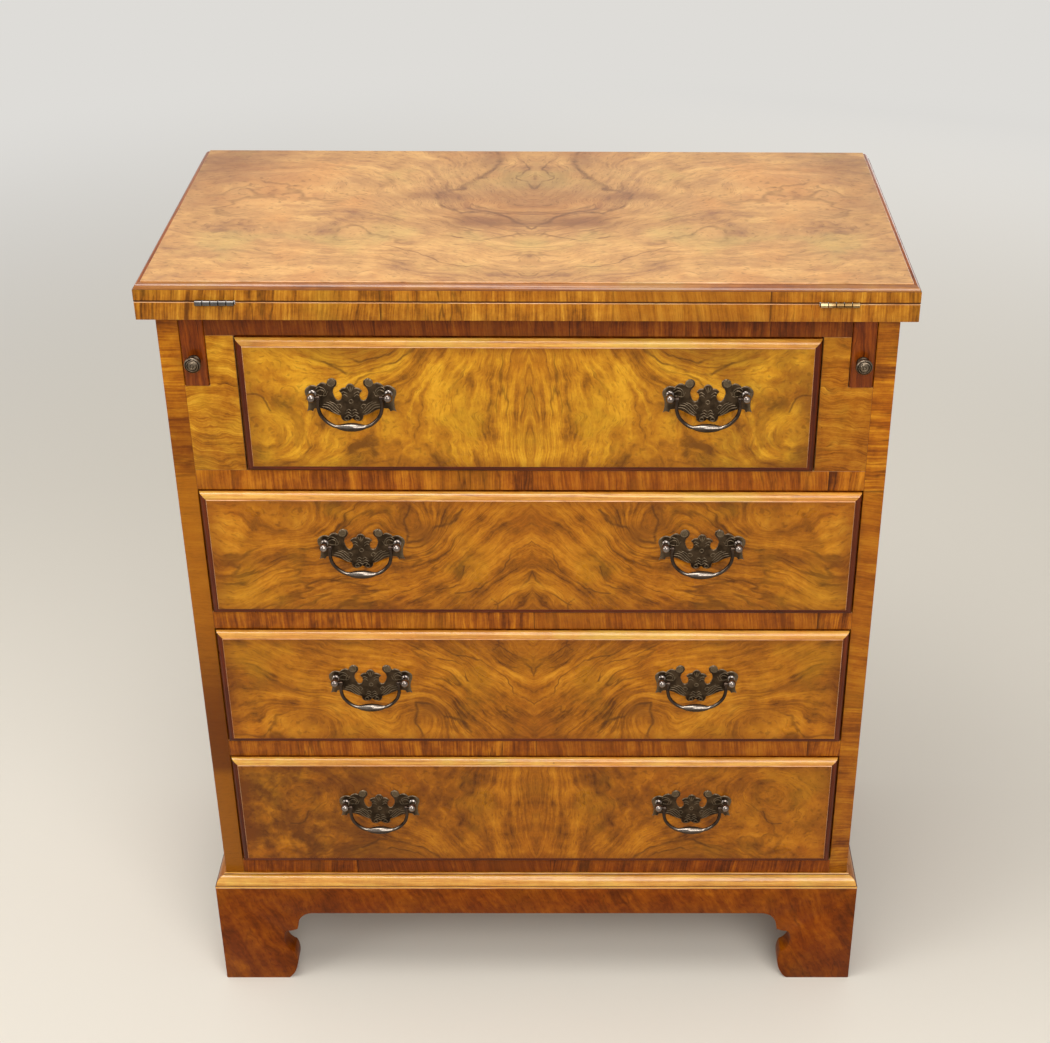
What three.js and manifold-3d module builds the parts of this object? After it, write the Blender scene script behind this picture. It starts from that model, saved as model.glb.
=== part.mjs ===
import * as THREE from 'three';
import Module from 'manifold-3d';
import { mergeVertices } from 'three/addons/utils/BufferGeometryUtils.js';

// A walnut bachelors chest with a fold-over top, two lopers, four drawers and bracket feet.
// Millimetres, +Z up, and the front faces -Y. The origin is on the floor, below the middle of
// the object's box. Handles, lopers, hinges and feet come in pairs, left and right.

// Clearances, and one overrun for every cut
const runClear = 0.3;
const fitClear = 0.2;
const mitreClear = 0.3;
const overrun = 2;

// Every solid's corners lie on this fine grid, so that faces that meet share their numbers
const grid = 0.0001;

// Top
const topWidth = 640;
const topDepth = 325;
const leafThick = 15.85;
const fixedTopThick = 15.8;
const leafJoint = 0.3;
const leafMould = { width: 6, drop: 5.4, fillet: 1, quirk: 0.8 };

// Case
const caseOverhang = 12.6;
const caseHeight = 600.65;
const sideThick = 17.8;
const backThick = 8;
const backRebate = 9;
const housingDepth = 5;
const housingSetback = 20;

// Rails and drawer openings
const topRailHeight = 19.5;
const railUnderTopDrawer = 19.3;
const railHeight = 18;
const bottomRailShow = 15.9;
const bottomDrawerExtra = 1.55;
const railDepth = 45;
const dustPanelThick = 8;
const bottomPanelThick = 12;

// Lopers, their slots and guides
const slotWidth = 21.3;
const slotHeight = 65.7;
const stileWidth = 23.2;
const stileDepth = 20;
const runnerThick = 12;
const loperBackClear = 17.6;
const loperStopLength = 26.5;
const loperProud = 1.2;
const loperEdgeRadius = 3;
const pegRadius = 3;
const pegReach = 5;
const pegSetback = 42;
const pegGrooveDepth = 6;

// Loper knobs
const knobRise = 23.6;
const knobReach = 12;
const knobRadius = 7.2;

// The knob's outline from its collar to its tip, as shares of its radius and its reach
const knobShares = [
  [0.75, 0], [0.75, 0.1], [0.47, 0.22], [0.47, 0.4], [1, 0.66], [0.95, 0.8], [0.74, 0.92],
  [0.4, 0.98], [0, 1],
];

// Base
const footHeight = 87.1;
const footWidth = 63.4;
const apronHeight = 32.5;
const baseThick = 20;
const baseProud = 10.1;
const baseMouldHeight = 12.8;
const baseMouldTop = { width: 2.2, drop: 1.4 };
const baseMouldLow = { width: 1, rise: 2.6 };
const backRailHeight = 60;
const backFootWidth = 70;
const backFootSlope = 25;

// Drawer fronts, and their gaps in the opening
const frontProud = 6;
const frontInside = 14;
const frontMould = { width: 6, drop: 6, fillet: 1, quirk: 0 };
const frontGapTop = 1.6;
const frontGapSide = 1.3;
const frontGapBottom = 0.7;

// Drawer boxes
const liningThick = 10;
const boxBackClear = 22.4;
const sideDrop = 7;
const bottomThick = 5;
const bottomRise = 8;
const grooveDepth = 4;
const frontTails = { count: 4, length: 9, slope: 0.15, share: 0.72 };
const backTails = { count: 3, length: 9.6, slope: 0.15, share: 0.72 };

// Handles
const handleInset = 139.6;
const handleRise = 13.8;
const postSpacing = 64;
const postReach = 9.5;
const postRadius = 2.4;
const postCollarRadius = 3.5;
const postCollarThick = 1.4;
const postBallRadius = 3.8;
const plateThick = 1.5;
const plateHalfWidth = 38.6;
const plateRise = 14.1;
const plateDrop = 26.1;
const plateCrestShare = 0.64;
const bailRadius = 1.6;
const bailEyeClear = 0.4;
const bailEyeRadius = 2.3;
const bailPinRadius = 1.3;
const bailPinReach = 2.6;
const bailDrop = 27.4;
const bailGripRadius = 3.8;
const bailGripHalf = 12;

// Hinges
const hingeInset = 66;
const hingeLength = 32.4;
const barrelRadius = 2.5;
const barrelSetout = 2.2;
const hingePinRadius = 1.2;
const hingePlateThick = 1.2;
const hingePlateDepth = 16;
const knuckleCount = 5;

// Facets of the round forms
const arcSteps = 4;
const turnSteps = 12;
const postSteps = 8;
const ballSteps = 4;
const rodSides = 8;
const barrelSides = 12;
const sweepSteps = 16;
const gripSteps = 6;
const plateSteps = 2;

// The bracket foot, from its inner bottom corner up to the apron, as shares of the foot's width
// and height. Each row is the curve's handle and then its end.
const footShares = [
  [[1.13, 0.07], [1.164, 0.247]],
  [[1.17, 0.34], [1.126, 0.413]],
  [[0.985, 0.46], [0.986, 0.608]],
  [[0.985, 0.73], [1.08, 0.73]],
  [[1.14, 0.735], [1.213, 0.762]],
  [[1.23, 0.99], [1.468, 1]],
];

// The right half of the backplate's upper edge, from the crest out to the tip of the tail, as
// shares of the plate's half width and rise. Each row is the curve's handle and then its end.
const plateTopShares = [
  [[0.07, 0.64], [0.104, 0.37]],
  [[0.2, 0.4], [0.251, 0.14]],
  [[0.19, 0.05], [0.192, -0.18]],
  [[0.2, -0.46], [0.282, -0.47]],
  [[0.35, -0.4], [0.386, 0.06]],
  [[0.37, 0.36], [0.33, 0.42]],
  [[0.26, 0.62], [0.3, 0.86]],
  [[0.4, 1.14], [0.48, 0.86]],
  [[0.5, 0.72], [0.515, 0.62]],
  [[0.61, 0.86], [0.73, 0.47]],
  [[0.86, 0.66], [0.966, 0.31]],
  [[1.02, 0.1], [0.97, -0.2]],
];

// The lower edge from the tip of the tail in to the middle, as shares of the half width and drop
const plateLowShares = [
  [[0.9, -0.4], [0.977, -0.655]],
  [[0.91, -0.58], [0.842, -0.655]],
  [[0.83, -0.58], [0.8, -0.545]],
  [[0.64, -0.5], [0.443, -0.68]],
  [[0.32, -0.78], [0.249, -0.79]],
  [[0.24, -1.02], [0.13, -1]],
  [[0.05, -0.99], [0, -0.9]],
];

// The bail's centre line from a post to the middle, as shares of its half width and its drop
const bailShares = [[1, 0], [1.02, -0.29], [0.94, -0.6], [0.71, -0.86], [0.435, -0.985]];

// Levels, from the floor up
const baseTopZ = footHeight + apronHeight;
const mouldTopZ = baseTopZ + baseMouldHeight;
const fixedTopLowZ = mouldTopZ + caseHeight;
const fixedTopHighZ = fixedTopLowZ + fixedTopThick;
const hingeZ = fixedTopHighZ + leafJoint / 2;
const leafLowZ = fixedTopHighZ + leafJoint;
const leafHighZ = leafLowZ + leafThick;
const topRailLowZ = fixedTopLowZ - topRailHeight;
const slotLowZ = fixedTopLowZ - slotHeight;
const pegZ = slotLowZ + slotHeight / 2;
const loperHighZ = hingeZ - leafJoint / 2 - leafThick - runClear;

// Places across the width
const caseHalf = topWidth / 2 - caseOverhang;
const innerHalf = caseHalf - sideThick;
const slotInner = innerHalf - slotWidth;
const topDrawerHalf = slotInner - stileWidth;
const loperX = (innerHalf + slotInner) / 2;
const hingeX = topWidth / 2 - hingeInset;
const handleX = innerHalf - handleInset;
const baseHalf = caseHalf + baseProud;

// Places from front to back
const handleReach = frontProud + postReach + Math.max(postBallRadius, bailGripRadius);
const topFrontY = (handleReach - caseOverhang - topDepth) / 2;
const backY = topFrontY + topDepth;
const insideBackY = backY - backThick;
const caseFrontY = topFrontY + caseOverhang;
const baseFrontY = caseFrontY - baseProud;
const hingeY = topFrontY - barrelSetout;
const guideFrontY = caseFrontY + stileDepth;
const pegY = caseFrontY + pegSetback;

// Drawer openings from the top down, all of one height but for the lowest, which has an extra
const railsBelow = [railUnderTopDrawer, railHeight, railHeight, bottomRailShow];
const openHeight = railsBelow.reduce((height, rail) => height - rail, caseHeight - topRailHeight);
const openingHeight = (openHeight - bottomDrawerExtra) / railsBelow.length;
const openings = [];
railsBelow.forEach((railBelow, i) => {
  const above = openings.at(-1);
  const highZ = above ? above.lowZ - above.railBelow : topRailLowZ;
  const extra = i === railsBelow.length - 1 ? bottomDrawerExtra : 0;
  const half = above ? innerHalf : topDrawerHalf;
  openings.push({ lowZ: highZ - openingHeight - extra, highZ, half, railBelow });
});

const wasm = await Module();
wasm.setup();

const finish = (color, roughness, metalness) => (
  new THREE.MeshStandardMaterial({ color, roughness, metalness })
);
const topVeneer = finish(0xb0702e, 0.25, 0);
const drawerVeneer = finish(0xb87826, 0.3, 0);
const caseVeneer = finish(0x9c6222, 0.35, 0);
const railBanding = finish(0x8a4a1c, 0.35, 0);
const baseVeneer = finish(0x74360f, 0.35, 0);
const loperWood = finish(0x5c2410, 0.4, 0);
const liningWood = finish(0xc9a26a, 0.7, 0);
const backBoard = finish(0x8c6a45, 0.8, 0);
const antiqueBrass = finish(0x2e2620, 0.35, 0.9);
const hingeBrass = finish(0xb9a888, 0.3, 0.9);

// Solids and meshes

function solidOf(geometry) {
  const bare = geometry.clone();
  bare.deleteAttribute('normal');
  bare.deleteAttribute('uv');
  const merged = mergeVertices(bare);
  const places = Array.from(merged.attributes.position.array, (v) => Math.round(v / grid) * grid);
  return new wasm.Manifold(new wasm.Mesh({
    numProp: 3,
    vertProperties: new Float32Array(places),
    triVerts: new Uint32Array(merged.index.array),
  }));
}

function geometryOf(solid) {
  const mesh = solid.getMesh();
  const geometry = new THREE.BufferGeometry();
  geometry.setAttribute('position', new THREE.BufferAttribute(mesh.vertProperties, 3));
  geometry.setIndex(new THREE.BufferAttribute(mesh.triVerts, 1));
  return geometry;
}

function addPiece(group, name, solid, material) {
  const mesh = new THREE.Mesh(geometryOf(solid), material);
  mesh.name = name;
  group.add(mesh);
}

function mirroredX(solid) {
  const geometry = geometryOf(solid);
  geometry.scale(-1, 1, 1);
  const turns = geometry.index.array;
  for (let i = 0; i < turns.length; i += 3) {
    [turns[i], turns[i + 1]] = [turns[i + 1], turns[i]];
  }
  return solidOf(geometry);
}

// Adds the solid of the left side, and its mirror image on the right
function addPair(group, name, solid, material) {
  addPiece(group, `${name}_left`, solid, material);
  addPiece(group, `${name}_right`, mirroredX(solid), material);
}

function shapeOf(points) {
  return new THREE.Shape(points.map(([a, b]) => new THREE.Vector2(a, b)));
}

function extruded(shape, length, matrix, curveSegments) {
  const settings = { depth: length, bevelEnabled: false, curveSegments };
  return solidOf(new THREE.ExtrudeGeometry(shape, settings).applyMatrix4(matrix));
}

const xAxis = new THREE.Vector3(1, 0, 0);
const yAxis = new THREE.Vector3(0, 1, 0);
const zAxis = new THREE.Vector3(0, 0, 1);

// A shape drawn in Y and Z, carried along X
function alongX(shape, lowX, highX, steps = arcSteps) {
  const place = new THREE.Matrix4().makeBasis(yAxis, zAxis, xAxis).setPosition(lowX, 0, 0);
  return extruded(shape, highX - lowX, place, steps);
}

// A shape drawn in X and Z, carried along Y
function alongY(shape, lowY, highY, steps = arcSteps) {
  const forward = yAxis.clone().negate();
  const place = new THREE.Matrix4().makeBasis(xAxis, zAxis, forward).setPosition(0, highY, 0);
  return extruded(shape, highY - lowY, place, steps);
}

// A shape drawn in X and Y, carried along Z
function alongZ(shape, lowZ, highZ, steps = arcSteps) {
  return extruded(shape, highZ - lowZ, new THREE.Matrix4().setPosition(0, 0, lowZ), steps);
}

function block([lowX, highX], [lowY, highY], [lowZ, highZ]) {
  const geometry = new THREE.BoxGeometry(highX - lowX, highY - lowY, highZ - lowZ);
  geometry.translate((lowX + highX) / 2, (lowY + highY) / 2, (lowZ + highZ) / 2);
  return solidOf(geometry);
}

// A round bar along X, from one place to another
function barX(radius, [lowX, highX], y, z, sides) {
  const geometry = new THREE.CylinderGeometry(radius, radius, highX - lowX, sides);
  geometry.rotateZ(Math.PI / 2);
  geometry.translate((lowX + highX) / 2, y, z);
  return solidOf(geometry);
}

// A turned form that stands forward of a face at y, from rows of radius and reach
function turnedForward(rows, steps, [x, y, z]) {
  const points = rows.map(([radius, reach]) => new THREE.Vector2(radius, reach));
  const geometry = new THREE.LatheGeometry(points, steps);
  geometry.rotateX(Math.PI);
  geometry.translate(x, y, z);
  return solidOf(geometry);
}

// Points of a round stretch about a centre, from one angle to another
function arcPoints([centreA, centreB], [radiusA, radiusB], from, to, steps = arcSteps) {
  const points = [];
  for (let i = 0; i <= steps; i += 1) {
    const angle = from + (to - from) * i / steps;
    points.push([centreA + radiusA * Math.cos(angle), centreB + radiusB * Math.sin(angle)]);
  }
  return points;
}

// A board's section across its width: its edges carry a moulding under a raised field. The
// lift raises the field, so that a second section can set it.
function mouldedSection(low, high, back, face, mould, lift, lowIsPlain) {
  const edge = (place, side) => {
    const round = arcPoints(
      [place - side * mould.width, face - mould.drop],
      [side * (mould.width - mould.quirk), mould.drop - mould.fillet],
      0,
      Math.PI / 2,
    );
    const quirk = mould.quirk > 0 ? [[place, face - mould.drop]] : [];
    return [[place, back], ...quirk, ...round, [place - side * mould.width, face + lift]];
  };
  const lowEdge = lowIsPlain ? [[low, back], [low, face + lift]] : edge(low, -1);
  return [...edge(high, 1), ...lowEdge.reverse()];
}

// Top: a fixed board and a leaf of the same size, moulded on its front and side edges

function hingeMortise(x, lowZ, highZ) {
  const half = hingeLength / 2 + fitClear;
  const depth = [topFrontY - overrun, topFrontY + hingePlateDepth + fitClear];
  const seat = block([x - half, x + half], depth, [lowZ, highZ]);
  return seat.add(barX(barrelRadius + fitClear, [x - half, x + half], hingeY, hingeZ, barrelSides));
}

function buildTop(group) {
  const half = topWidth / 2;
  const seatDepth = leafJoint / 2 + hingePlateThick + fitClear;
  let board = block([-half, half], [topFrontY, backY], [fixedTopLowZ, fixedTopHighZ]);
  const frontSection = mouldedSection(-backY, -topFrontY, leafLowZ, leafHighZ, leafMould, 0, true);
  const sideSection = mouldedSection(
    -half, half, leafLowZ - overrun, leafHighZ, leafMould, overrun, false,
  );
  let leaf = alongX(
    shapeOf(frontSection.map(([a, b]) => [-a, b])), -half - overrun, half + overrun,
  );
  leaf = leaf.intersect(alongY(shapeOf(sideSection), topFrontY - overrun, backY + overrun));
  for (const x of [-hingeX, hingeX]) {
    board = board.subtract(hingeMortise(x, hingeZ - seatDepth, fixedTopHighZ + overrun));
    leaf = leaf.subtract(hingeMortise(x, leafLowZ - overrun, hingeZ + seatDepth));
  }
  addPiece(group, 'fixed_top', board, topVeneer);
  addPiece(group, 'fold_leaf', leaf, topVeneer);
}

// Edge hinges: the fixed half carries the odd knuckles and the pin, the moving half the others

function hingeHalf(x, side, ownKnuckles) {
  const half = hingeLength / 2;
  const step = hingeLength / knuckleCount;
  const nearZ = hingeZ + side * leafJoint / 2;
  const farZ = nearZ + side * hingePlateThick;
  let solid = block(
    [x - half, x + half],
    [hingeY, topFrontY + hingePlateDepth],
    [Math.min(nearZ, farZ), Math.max(nearZ, farZ)],
  );
  for (let i = 0; i < knuckleCount; i += 1) {
    const lowX = x - half + i * step;
    const own = i % 2 === ownKnuckles;
    const ends = own ? runClear / 2 : 0;
    const radius = own ? barrelRadius : barrelRadius + runClear;
    const span = [i > 0 ? lowX + ends : lowX, i < knuckleCount - 1 ? lowX + step - ends : lowX + step];
    const knuckle = barX(radius, span, hingeY, hingeZ, barrelSides);
    solid = own ? solid.add(knuckle) : solid.subtract(knuckle);
  }
  return solid;
}

function buildHinges(group) {
  const half = hingeLength / 2;
  for (const [name, x] of [['left', -hingeX], ['right', hingeX]]) {
    const pin = barX(hingePinRadius, [x - half, x + half], hingeY, hingeZ, barrelSides);
    const boreSpan = [x - half - overrun, x + half + overrun];
    const bore = barX(hingePinRadius + runClear, boreSpan, hingeY, hingeZ, barrelSides);
    addPiece(group, `hinge_fixed_${name}`, hingeHalf(x, -1, 0).add(pin), hingeBrass);
    addPiece(group, `hinge_moving_${name}`, hingeHalf(x, 1, 1).subtract(bore), hingeBrass);
  }
}

// Case: sides with a rebate for the back and housings for the boards between the drawers

const dividers = openings.slice(0, -1).map((opening) => ({
  lowZ: opening.lowZ - opening.railBelow,
  highZ: opening.lowZ,
  panelThick: dustPanelThick,
}));
const caseBottom = { lowZ: baseTopZ, highZ: openings.at(-1).lowZ, panelThick: bottomPanelThick };

// A rail with a thinner panel behind it, whose ends enter the housings of the sides
function housedBoard({ lowZ, highZ, panelThick }) {
  const railBackY = caseFrontY + railDepth;
  const panelBackY = insideBackY - fitClear;
  const section = shapeOf([
    [caseFrontY, lowZ], [railBackY, lowZ], [railBackY, highZ - panelThick],
    [panelBackY, highZ - panelThick], [panelBackY, highZ], [caseFrontY, highZ],
  ]);
  const reach = innerHalf + housingDepth;
  const tongue = block(
    [-reach, reach], [caseFrontY + housingSetback, panelBackY], [highZ - panelThick, highZ],
  );
  return alongX(section, -innerHalf, innerHalf).add(tongue);
}

function sidePanel() {
  const rebateX = innerHalf + backRebate;
  let panel = alongZ(shapeOf([
    [-caseHalf, caseFrontY], [-innerHalf, caseFrontY], [-innerHalf, insideBackY],
    [-rebateX, insideBackY], [-rebateX, backY], [-caseHalf, backY],
  ]), baseTopZ, fixedTopLowZ);
  for (const board of [...dividers, caseBottom]) {
    panel = panel.subtract(block(
      [-innerHalf - housingDepth - fitClear, -innerHalf + overrun],
      [caseFrontY + housingSetback - fitClear, insideBackY + overrun],
      [board.highZ - board.panelThick - fitClear, board.highZ + fitClear],
    ));
  }
  return panel;
}

function buildCase(group) {
  addPair(group, 'side_panel', sidePanel(), caseVeneer);
  const backHalf = innerHalf + backRebate - fitClear;
  const back = block([-backHalf, backHalf], [insideBackY, backY], [baseTopZ, fixedTopLowZ]);
  addPiece(group, 'back_panel', back, backBoard);
  const railY = [caseFrontY, guideFrontY];
  const rail = block([-slotInner, slotInner], railY, [topRailLowZ, fixedTopLowZ]);
  addPiece(group, 'top_rail', rail, railBanding);
  dividers.forEach((board, i) => {
    addPiece(group, `divider_${i + 1}`, housedBoard(board), railBanding);
  });
  addPiece(group, 'case_bottom', housedBoard(caseBottom), railBanding);
}

// Stiles beside the top drawer, and the guides and lopers behind them

function stile() {
  const lowZ = openings[0].lowZ;
  return alongY(shapeOf([
    [-innerHalf, lowZ], [-topDrawerHalf, lowZ], [-topDrawerHalf, topRailLowZ],
    [-slotInner, topRailLowZ], [-slotInner, slotLowZ], [-innerHalf, slotLowZ],
  ]), caseFrontY, guideFrontY);
}

function loperGuide() {
  const lowZ = openings[0].lowZ;
  const runnerZ = slotLowZ - runnerThick;
  const guide = alongY(shapeOf([
    [-topDrawerHalf, lowZ], [-topDrawerHalf, fixedTopLowZ], [-slotInner, fixedTopLowZ],
    [-slotInner, slotLowZ], [-innerHalf, slotLowZ], [-innerHalf, runnerZ],
    [-slotInner, runnerZ], [-slotInner, lowZ],
  ]), guideFrontY, insideBackY - fitClear);
  const pegSpan = [-slotInner - pegReach, -slotInner + overrun];
  return guide.add(barX(pegRadius, pegSpan, pegY, pegZ, turnSteps));
}

function loperKnob(frontY) {
  const rows = knobShares.map(([a, b]) => [a * knobRadius, b * knobReach]);
  const shankRadius = rows[0][0];
  const shank = [[0, -overrun], [shankRadius, -overrun], ...rows.slice(1)];
  return turnedForward(shank, turnSteps, [-loperX, frontY, slotLowZ + knobRise]);
}

function loper() {
  const outerX = -innerHalf + runClear;
  const innerX = -slotInner - runClear;
  const frontY = caseFrontY - loperProud;
  const backEndY = insideBackY - loperBackClear;
  const radii = [loperEdgeRadius, loperEdgeRadius];
  const roundY = frontY + loperEdgeRadius;
  const bar = alongZ(shapeOf([
    [outerX, backEndY],
    ...arcPoints([outerX + loperEdgeRadius, roundY], radii, Math.PI, Math.PI * 1.5),
    ...arcPoints([innerX - loperEdgeRadius, roundY], radii, Math.PI * 1.5, Math.PI * 2),
    [innerX, backEndY],
  ]), slotLowZ + runClear, loperHighZ);
  const pegSpace = pegRadius + runClear;
  const groove = block(
    [-slotInner - pegGrooveDepth, -slotInner + overrun],
    [pegY - pegSpace, backEndY - loperStopLength],
    [pegZ - pegSpace, pegZ + pegSpace],
  );
  return bar.subtract(groove).add(loperKnob(frontY));
}

function buildLopers(group) {
  addPair(group, 'stile', stile(), railBanding);
  addPair(group, 'loper_guide', loperGuide(), liningWood);
  addPair(group, 'loper', loper(), loperWood);
}

// Base: boards with bracket feet and a moulding along their tops, mitred at the front corners

// A board seen from its face, symmetric about a middle, with a bracket foot at each end
function bracketShape(middle, width) {
  const half = width / 2;
  const shape = new THREE.Shape();
  const curve = (side, handle, end) => shape.quadraticCurveTo(
    middle + side * (half - footWidth * handle[0]),
    footHeight * handle[1],
    middle + side * (half - footWidth * end[0]),
    footHeight * end[1],
  );
  shape.moveTo(middle - half, baseTopZ);
  shape.lineTo(middle - half, 0);
  shape.lineTo(middle - half + footWidth, 0);
  for (const [handle, end] of footShares) {
    curve(-1, handle, end);
  }
  const rising = footShares.map(([, end]) => end);
  const starts = [[1, 0], ...rising];
  shape.lineTo(middle + half - footWidth * rising.at(-1)[0], footHeight * rising.at(-1)[1]);
  for (let i = footShares.length - 1; i >= 0; i -= 1) {
    curve(1, footShares[i][0], starts[i]);
  }
  shape.lineTo(middle + half, 0);
  shape.lineTo(middle + half, baseTopZ);
  return shape;
}

// The moulding's section, from its outer face in to the case
function baseMouldSection(outer, inward) {
  const inner = outer + inward * (baseProud - fitClear);
  const topEdge = outer + inward * (baseProud - baseMouldTop.width);
  const roundOuter = outer + inward * baseMouldLow.width;
  const roundLowZ = baseTopZ + baseMouldLow.rise;
  const roundHighZ = mouldTopZ - baseMouldTop.drop;
  const radii = [Math.abs(topEdge - roundOuter), roundHighZ - roundLowZ];
  const from = inward > 0 ? Math.PI : 0;
  return shapeOf([
    [inner, baseTopZ - overrun], [outer, baseTopZ - overrun], [outer, roundLowZ],
    ...arcPoints([topEdge, roundLowZ], radii, from, Math.PI / 2),
    [topEdge, mouldTopZ], [inner, mouldTopZ],
  ]);
}

function baseFront() {
  const half = baseHalf - mitreClear / 2;
  const nearY = baseFrontY - overrun;
  const farY = baseFrontY + baseThick + overrun;
  const mitre = alongZ(shapeOf([
    [-half - overrun, nearY], [half + overrun, nearY],
    [half - baseThick - overrun, farY], [-half + baseThick + overrun, farY],
  ]), -overrun, mouldTopZ + overrun);
  const board = alongY(bracketShape(0, 2 * baseHalf), baseFrontY, baseFrontY + baseThick);
  const mould = alongX(baseMouldSection(baseFrontY, 1), -baseHalf, baseHalf);
  return board.add(mould).intersect(mitre);
}

function baseSide() {
  const innerX = -baseHalf + baseThick;
  const startY = baseFrontY + mitreClear / 2;
  const mitre = alongZ(shapeOf([
    [-baseHalf - overrun, startY - overrun], [innerX + overrun, startY + baseThick + overrun],
    [innerX + overrun, backY + overrun], [-baseHalf - overrun, backY + overrun],
  ]), -overrun, mouldTopZ + overrun);
  const middle = (baseFrontY + backY) / 2;
  const board = alongX(bracketShape(middle, backY - baseFrontY), -baseHalf, innerX);
  const mould = alongY(baseMouldSection(-baseHalf, 1), baseFrontY, backY);
  return board.add(mould).intersect(mitre);
}

function baseBack() {
  const half = baseHalf - baseThick - fitClear;
  const railLowZ = baseTopZ - backRailHeight;
  const footX = half - backFootWidth;
  return alongY(shapeOf([
    [-half, 0], [-footX - backFootSlope, 0], [-footX, railLowZ], [footX, railLowZ],
    [footX + backFootSlope, 0], [half, 0], [half, baseTopZ], [-half, baseTopZ],
  ]), backY - baseThick, backY);
}

function buildBase(group) {
  addPiece(group, 'base_front', baseFront(), baseVeneer);
  addPair(group, 'base_side', baseSide(), baseVeneer);
  addPiece(group, 'base_back', baseBack(), liningWood);
}

// Drawers, each in its own frame: X from its middle, Y from the case front, Z from the rail

function tailsBetween(lowZ, highZ, tails) {
  const pitch = (highZ - lowZ) / tails.count;
  const rootHalf = pitch * tails.share / 2 - tails.slope * tails.length;
  return Array.from({ length: tails.count }, (_, i) => ({
    middle: lowZ + (i + 0.5) * pitch,
    halfAt: (depth) => rootHalf + tails.slope * depth,
  }));
}

// The four corners of a tail, or of its socket where it grows by a clearance
function tailCorners(tail, rootY, side, from, to, grow) {
  const corner = (depth, sign) => (
    [rootY + side * depth, tail.middle + sign * (tail.halfAt(depth) + grow)]
  );
  return [corner(from, -1), corner(to, -1), corner(to, 1), corner(from, 1)];
}

function drawerSizes(opening) {
  const half = opening.half - frontGapSide;
  const height = opening.highZ - opening.lowZ;
  const sideHighZ = height - sideDrop;
  const shoulderY = frontInside + fitClear;
  const endY = insideBackY - boxBackClear - caseFrontY;
  const grooveLowZ = runClear + bottomRise;
  const grooveHighZ = grooveLowZ + bottomThick + 2 * fitClear;
  const backLowZ = grooveHighZ;
  const rearShoulderY = endY - backTails.length;
  return {
    half, height, sideHighZ, shoulderY, endY, grooveLowZ, grooveHighZ, backLowZ, rearShoulderY,
    front: tailsBetween(runClear, sideHighZ, frontTails),
    rear: tailsBetween(backLowZ, sideHighZ, backTails),
  };
}

function drawerFront(d) {
  const lowZ = frontGapBottom;
  const highZ = d.height - frontGapTop;
  const acrossHeight = mouldedSection(lowZ, highZ, -frontInside, frontProud, frontMould, 0, false);
  const acrossWidth = mouldedSection(
    -d.half, d.half, -frontInside - overrun, frontProud, frontMould, overrun, false,
  );
  const spanX = d.half + overrun;
  let front = alongX(shapeOf(acrossHeight.map(([a, b]) => [-b, a])), -spanX, spanX);
  front = front.intersect(alongZ(
    shapeOf(acrossWidth.map(([a, b]) => [a, -b])), lowZ - overrun, highZ + overrun,
  ));
  const socketX = d.half - liningThick - fitClear;
  for (const tail of d.front) {
    const depth = frontTails.length + fitClear;
    const socket = shapeOf(tailCorners(tail, d.shoulderY, -1, -overrun, depth, fitClear));
    front = front.subtract(alongX(socket, socketX, spanX));
    front = front.subtract(alongX(socket, -spanX, -socketX));
  }
  const grooveX = d.half - liningThick + grooveDepth;
  return front.subtract(block(
    [-grooveX, grooveX],
    [frontInside - grooveDepth, frontInside + overrun],
    [d.grooveLowZ, d.grooveHighZ],
  ));
}

function drawerSide(d) {
  const frontEdge = d.front.flatMap((tail) => (
    tailCorners(tail, d.shoulderY, -1, 0, frontTails.length, 0)
  ));
  const rearEdge = d.rear.flatMap((tail) => (
    tailCorners(tail, d.rearShoulderY, 1, 0, backTails.length, 0)
  ));
  const board = alongX(shapeOf([
    [d.endY, runClear], [d.shoulderY, runClear], ...frontEdge, [d.shoulderY, d.sideHighZ],
    [d.rearShoulderY, d.sideHighZ], ...rearEdge.reverse(),
    [d.rearShoulderY, d.backLowZ], [d.endY, d.backLowZ],
  ]), -d.half, -d.half + liningThick);
  return board.subtract(block(
    [-d.half + liningThick - grooveDepth, -d.half + liningThick + overrun],
    [d.shoulderY - frontTails.length - overrun, d.endY + overrun],
    [d.grooveLowZ, d.grooveHighZ],
  ));
}

function drawerBack(d) {
  const nearY = d.rearShoulderY + fitClear;
  let back = block([-d.half, d.half], [nearY, d.endY], [d.backLowZ + fitClear, d.sideHighZ]);
  const socketX = d.half - liningThick - fitClear;
  const spanX = d.half + overrun;
  for (const tail of d.rear) {
    const depth = backTails.length + overrun;
    const socket = shapeOf(tailCorners(tail, d.rearShoulderY, 1, -overrun, depth, fitClear));
    back = back.subtract(alongX(socket, socketX, spanX));
    back = back.subtract(alongX(socket, -spanX, -socketX));
  }
  return back;
}

function drawerBottom(d) {
  const half = d.half - liningThick + grooveDepth - fitClear;
  const lowZ = d.grooveLowZ + fitClear;
  const depth = [frontInside - grooveDepth + fitClear, d.endY];
  return block([-half, half], depth, [lowZ, lowZ + bottomThick]);
}

// Handles, each in its own frame: its origin is between the posts, on the drawer's face

function plateRows() {
  const sized = (rows, height) => (
    rows.map((row) => row.map(([a, b]) => [a * plateHalfWidth, b * height]))
  );
  return [...sized(plateTopShares, plateRise), ...sized(plateLowShares, plateDrop)];
}

function backplate() {
  const rows = plateRows();
  const starts = [[0, plateRise * plateCrestShare], ...rows.map(([, end]) => end)];
  const shape = new THREE.Shape();
  shape.moveTo(...starts[0]);
  for (const [handle, end] of rows) {
    shape.quadraticCurveTo(...handle, ...end);
  }
  for (let i = rows.length - 1; i >= 0; i -= 1) {
    const [handleX, handleZ] = rows[i][0];
    shape.quadraticCurveTo(-handleX, handleZ, -starts[i][0], starts[i][1]);
  }
  return alongY(shape, -plateThick, 0, plateSteps);
}

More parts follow.
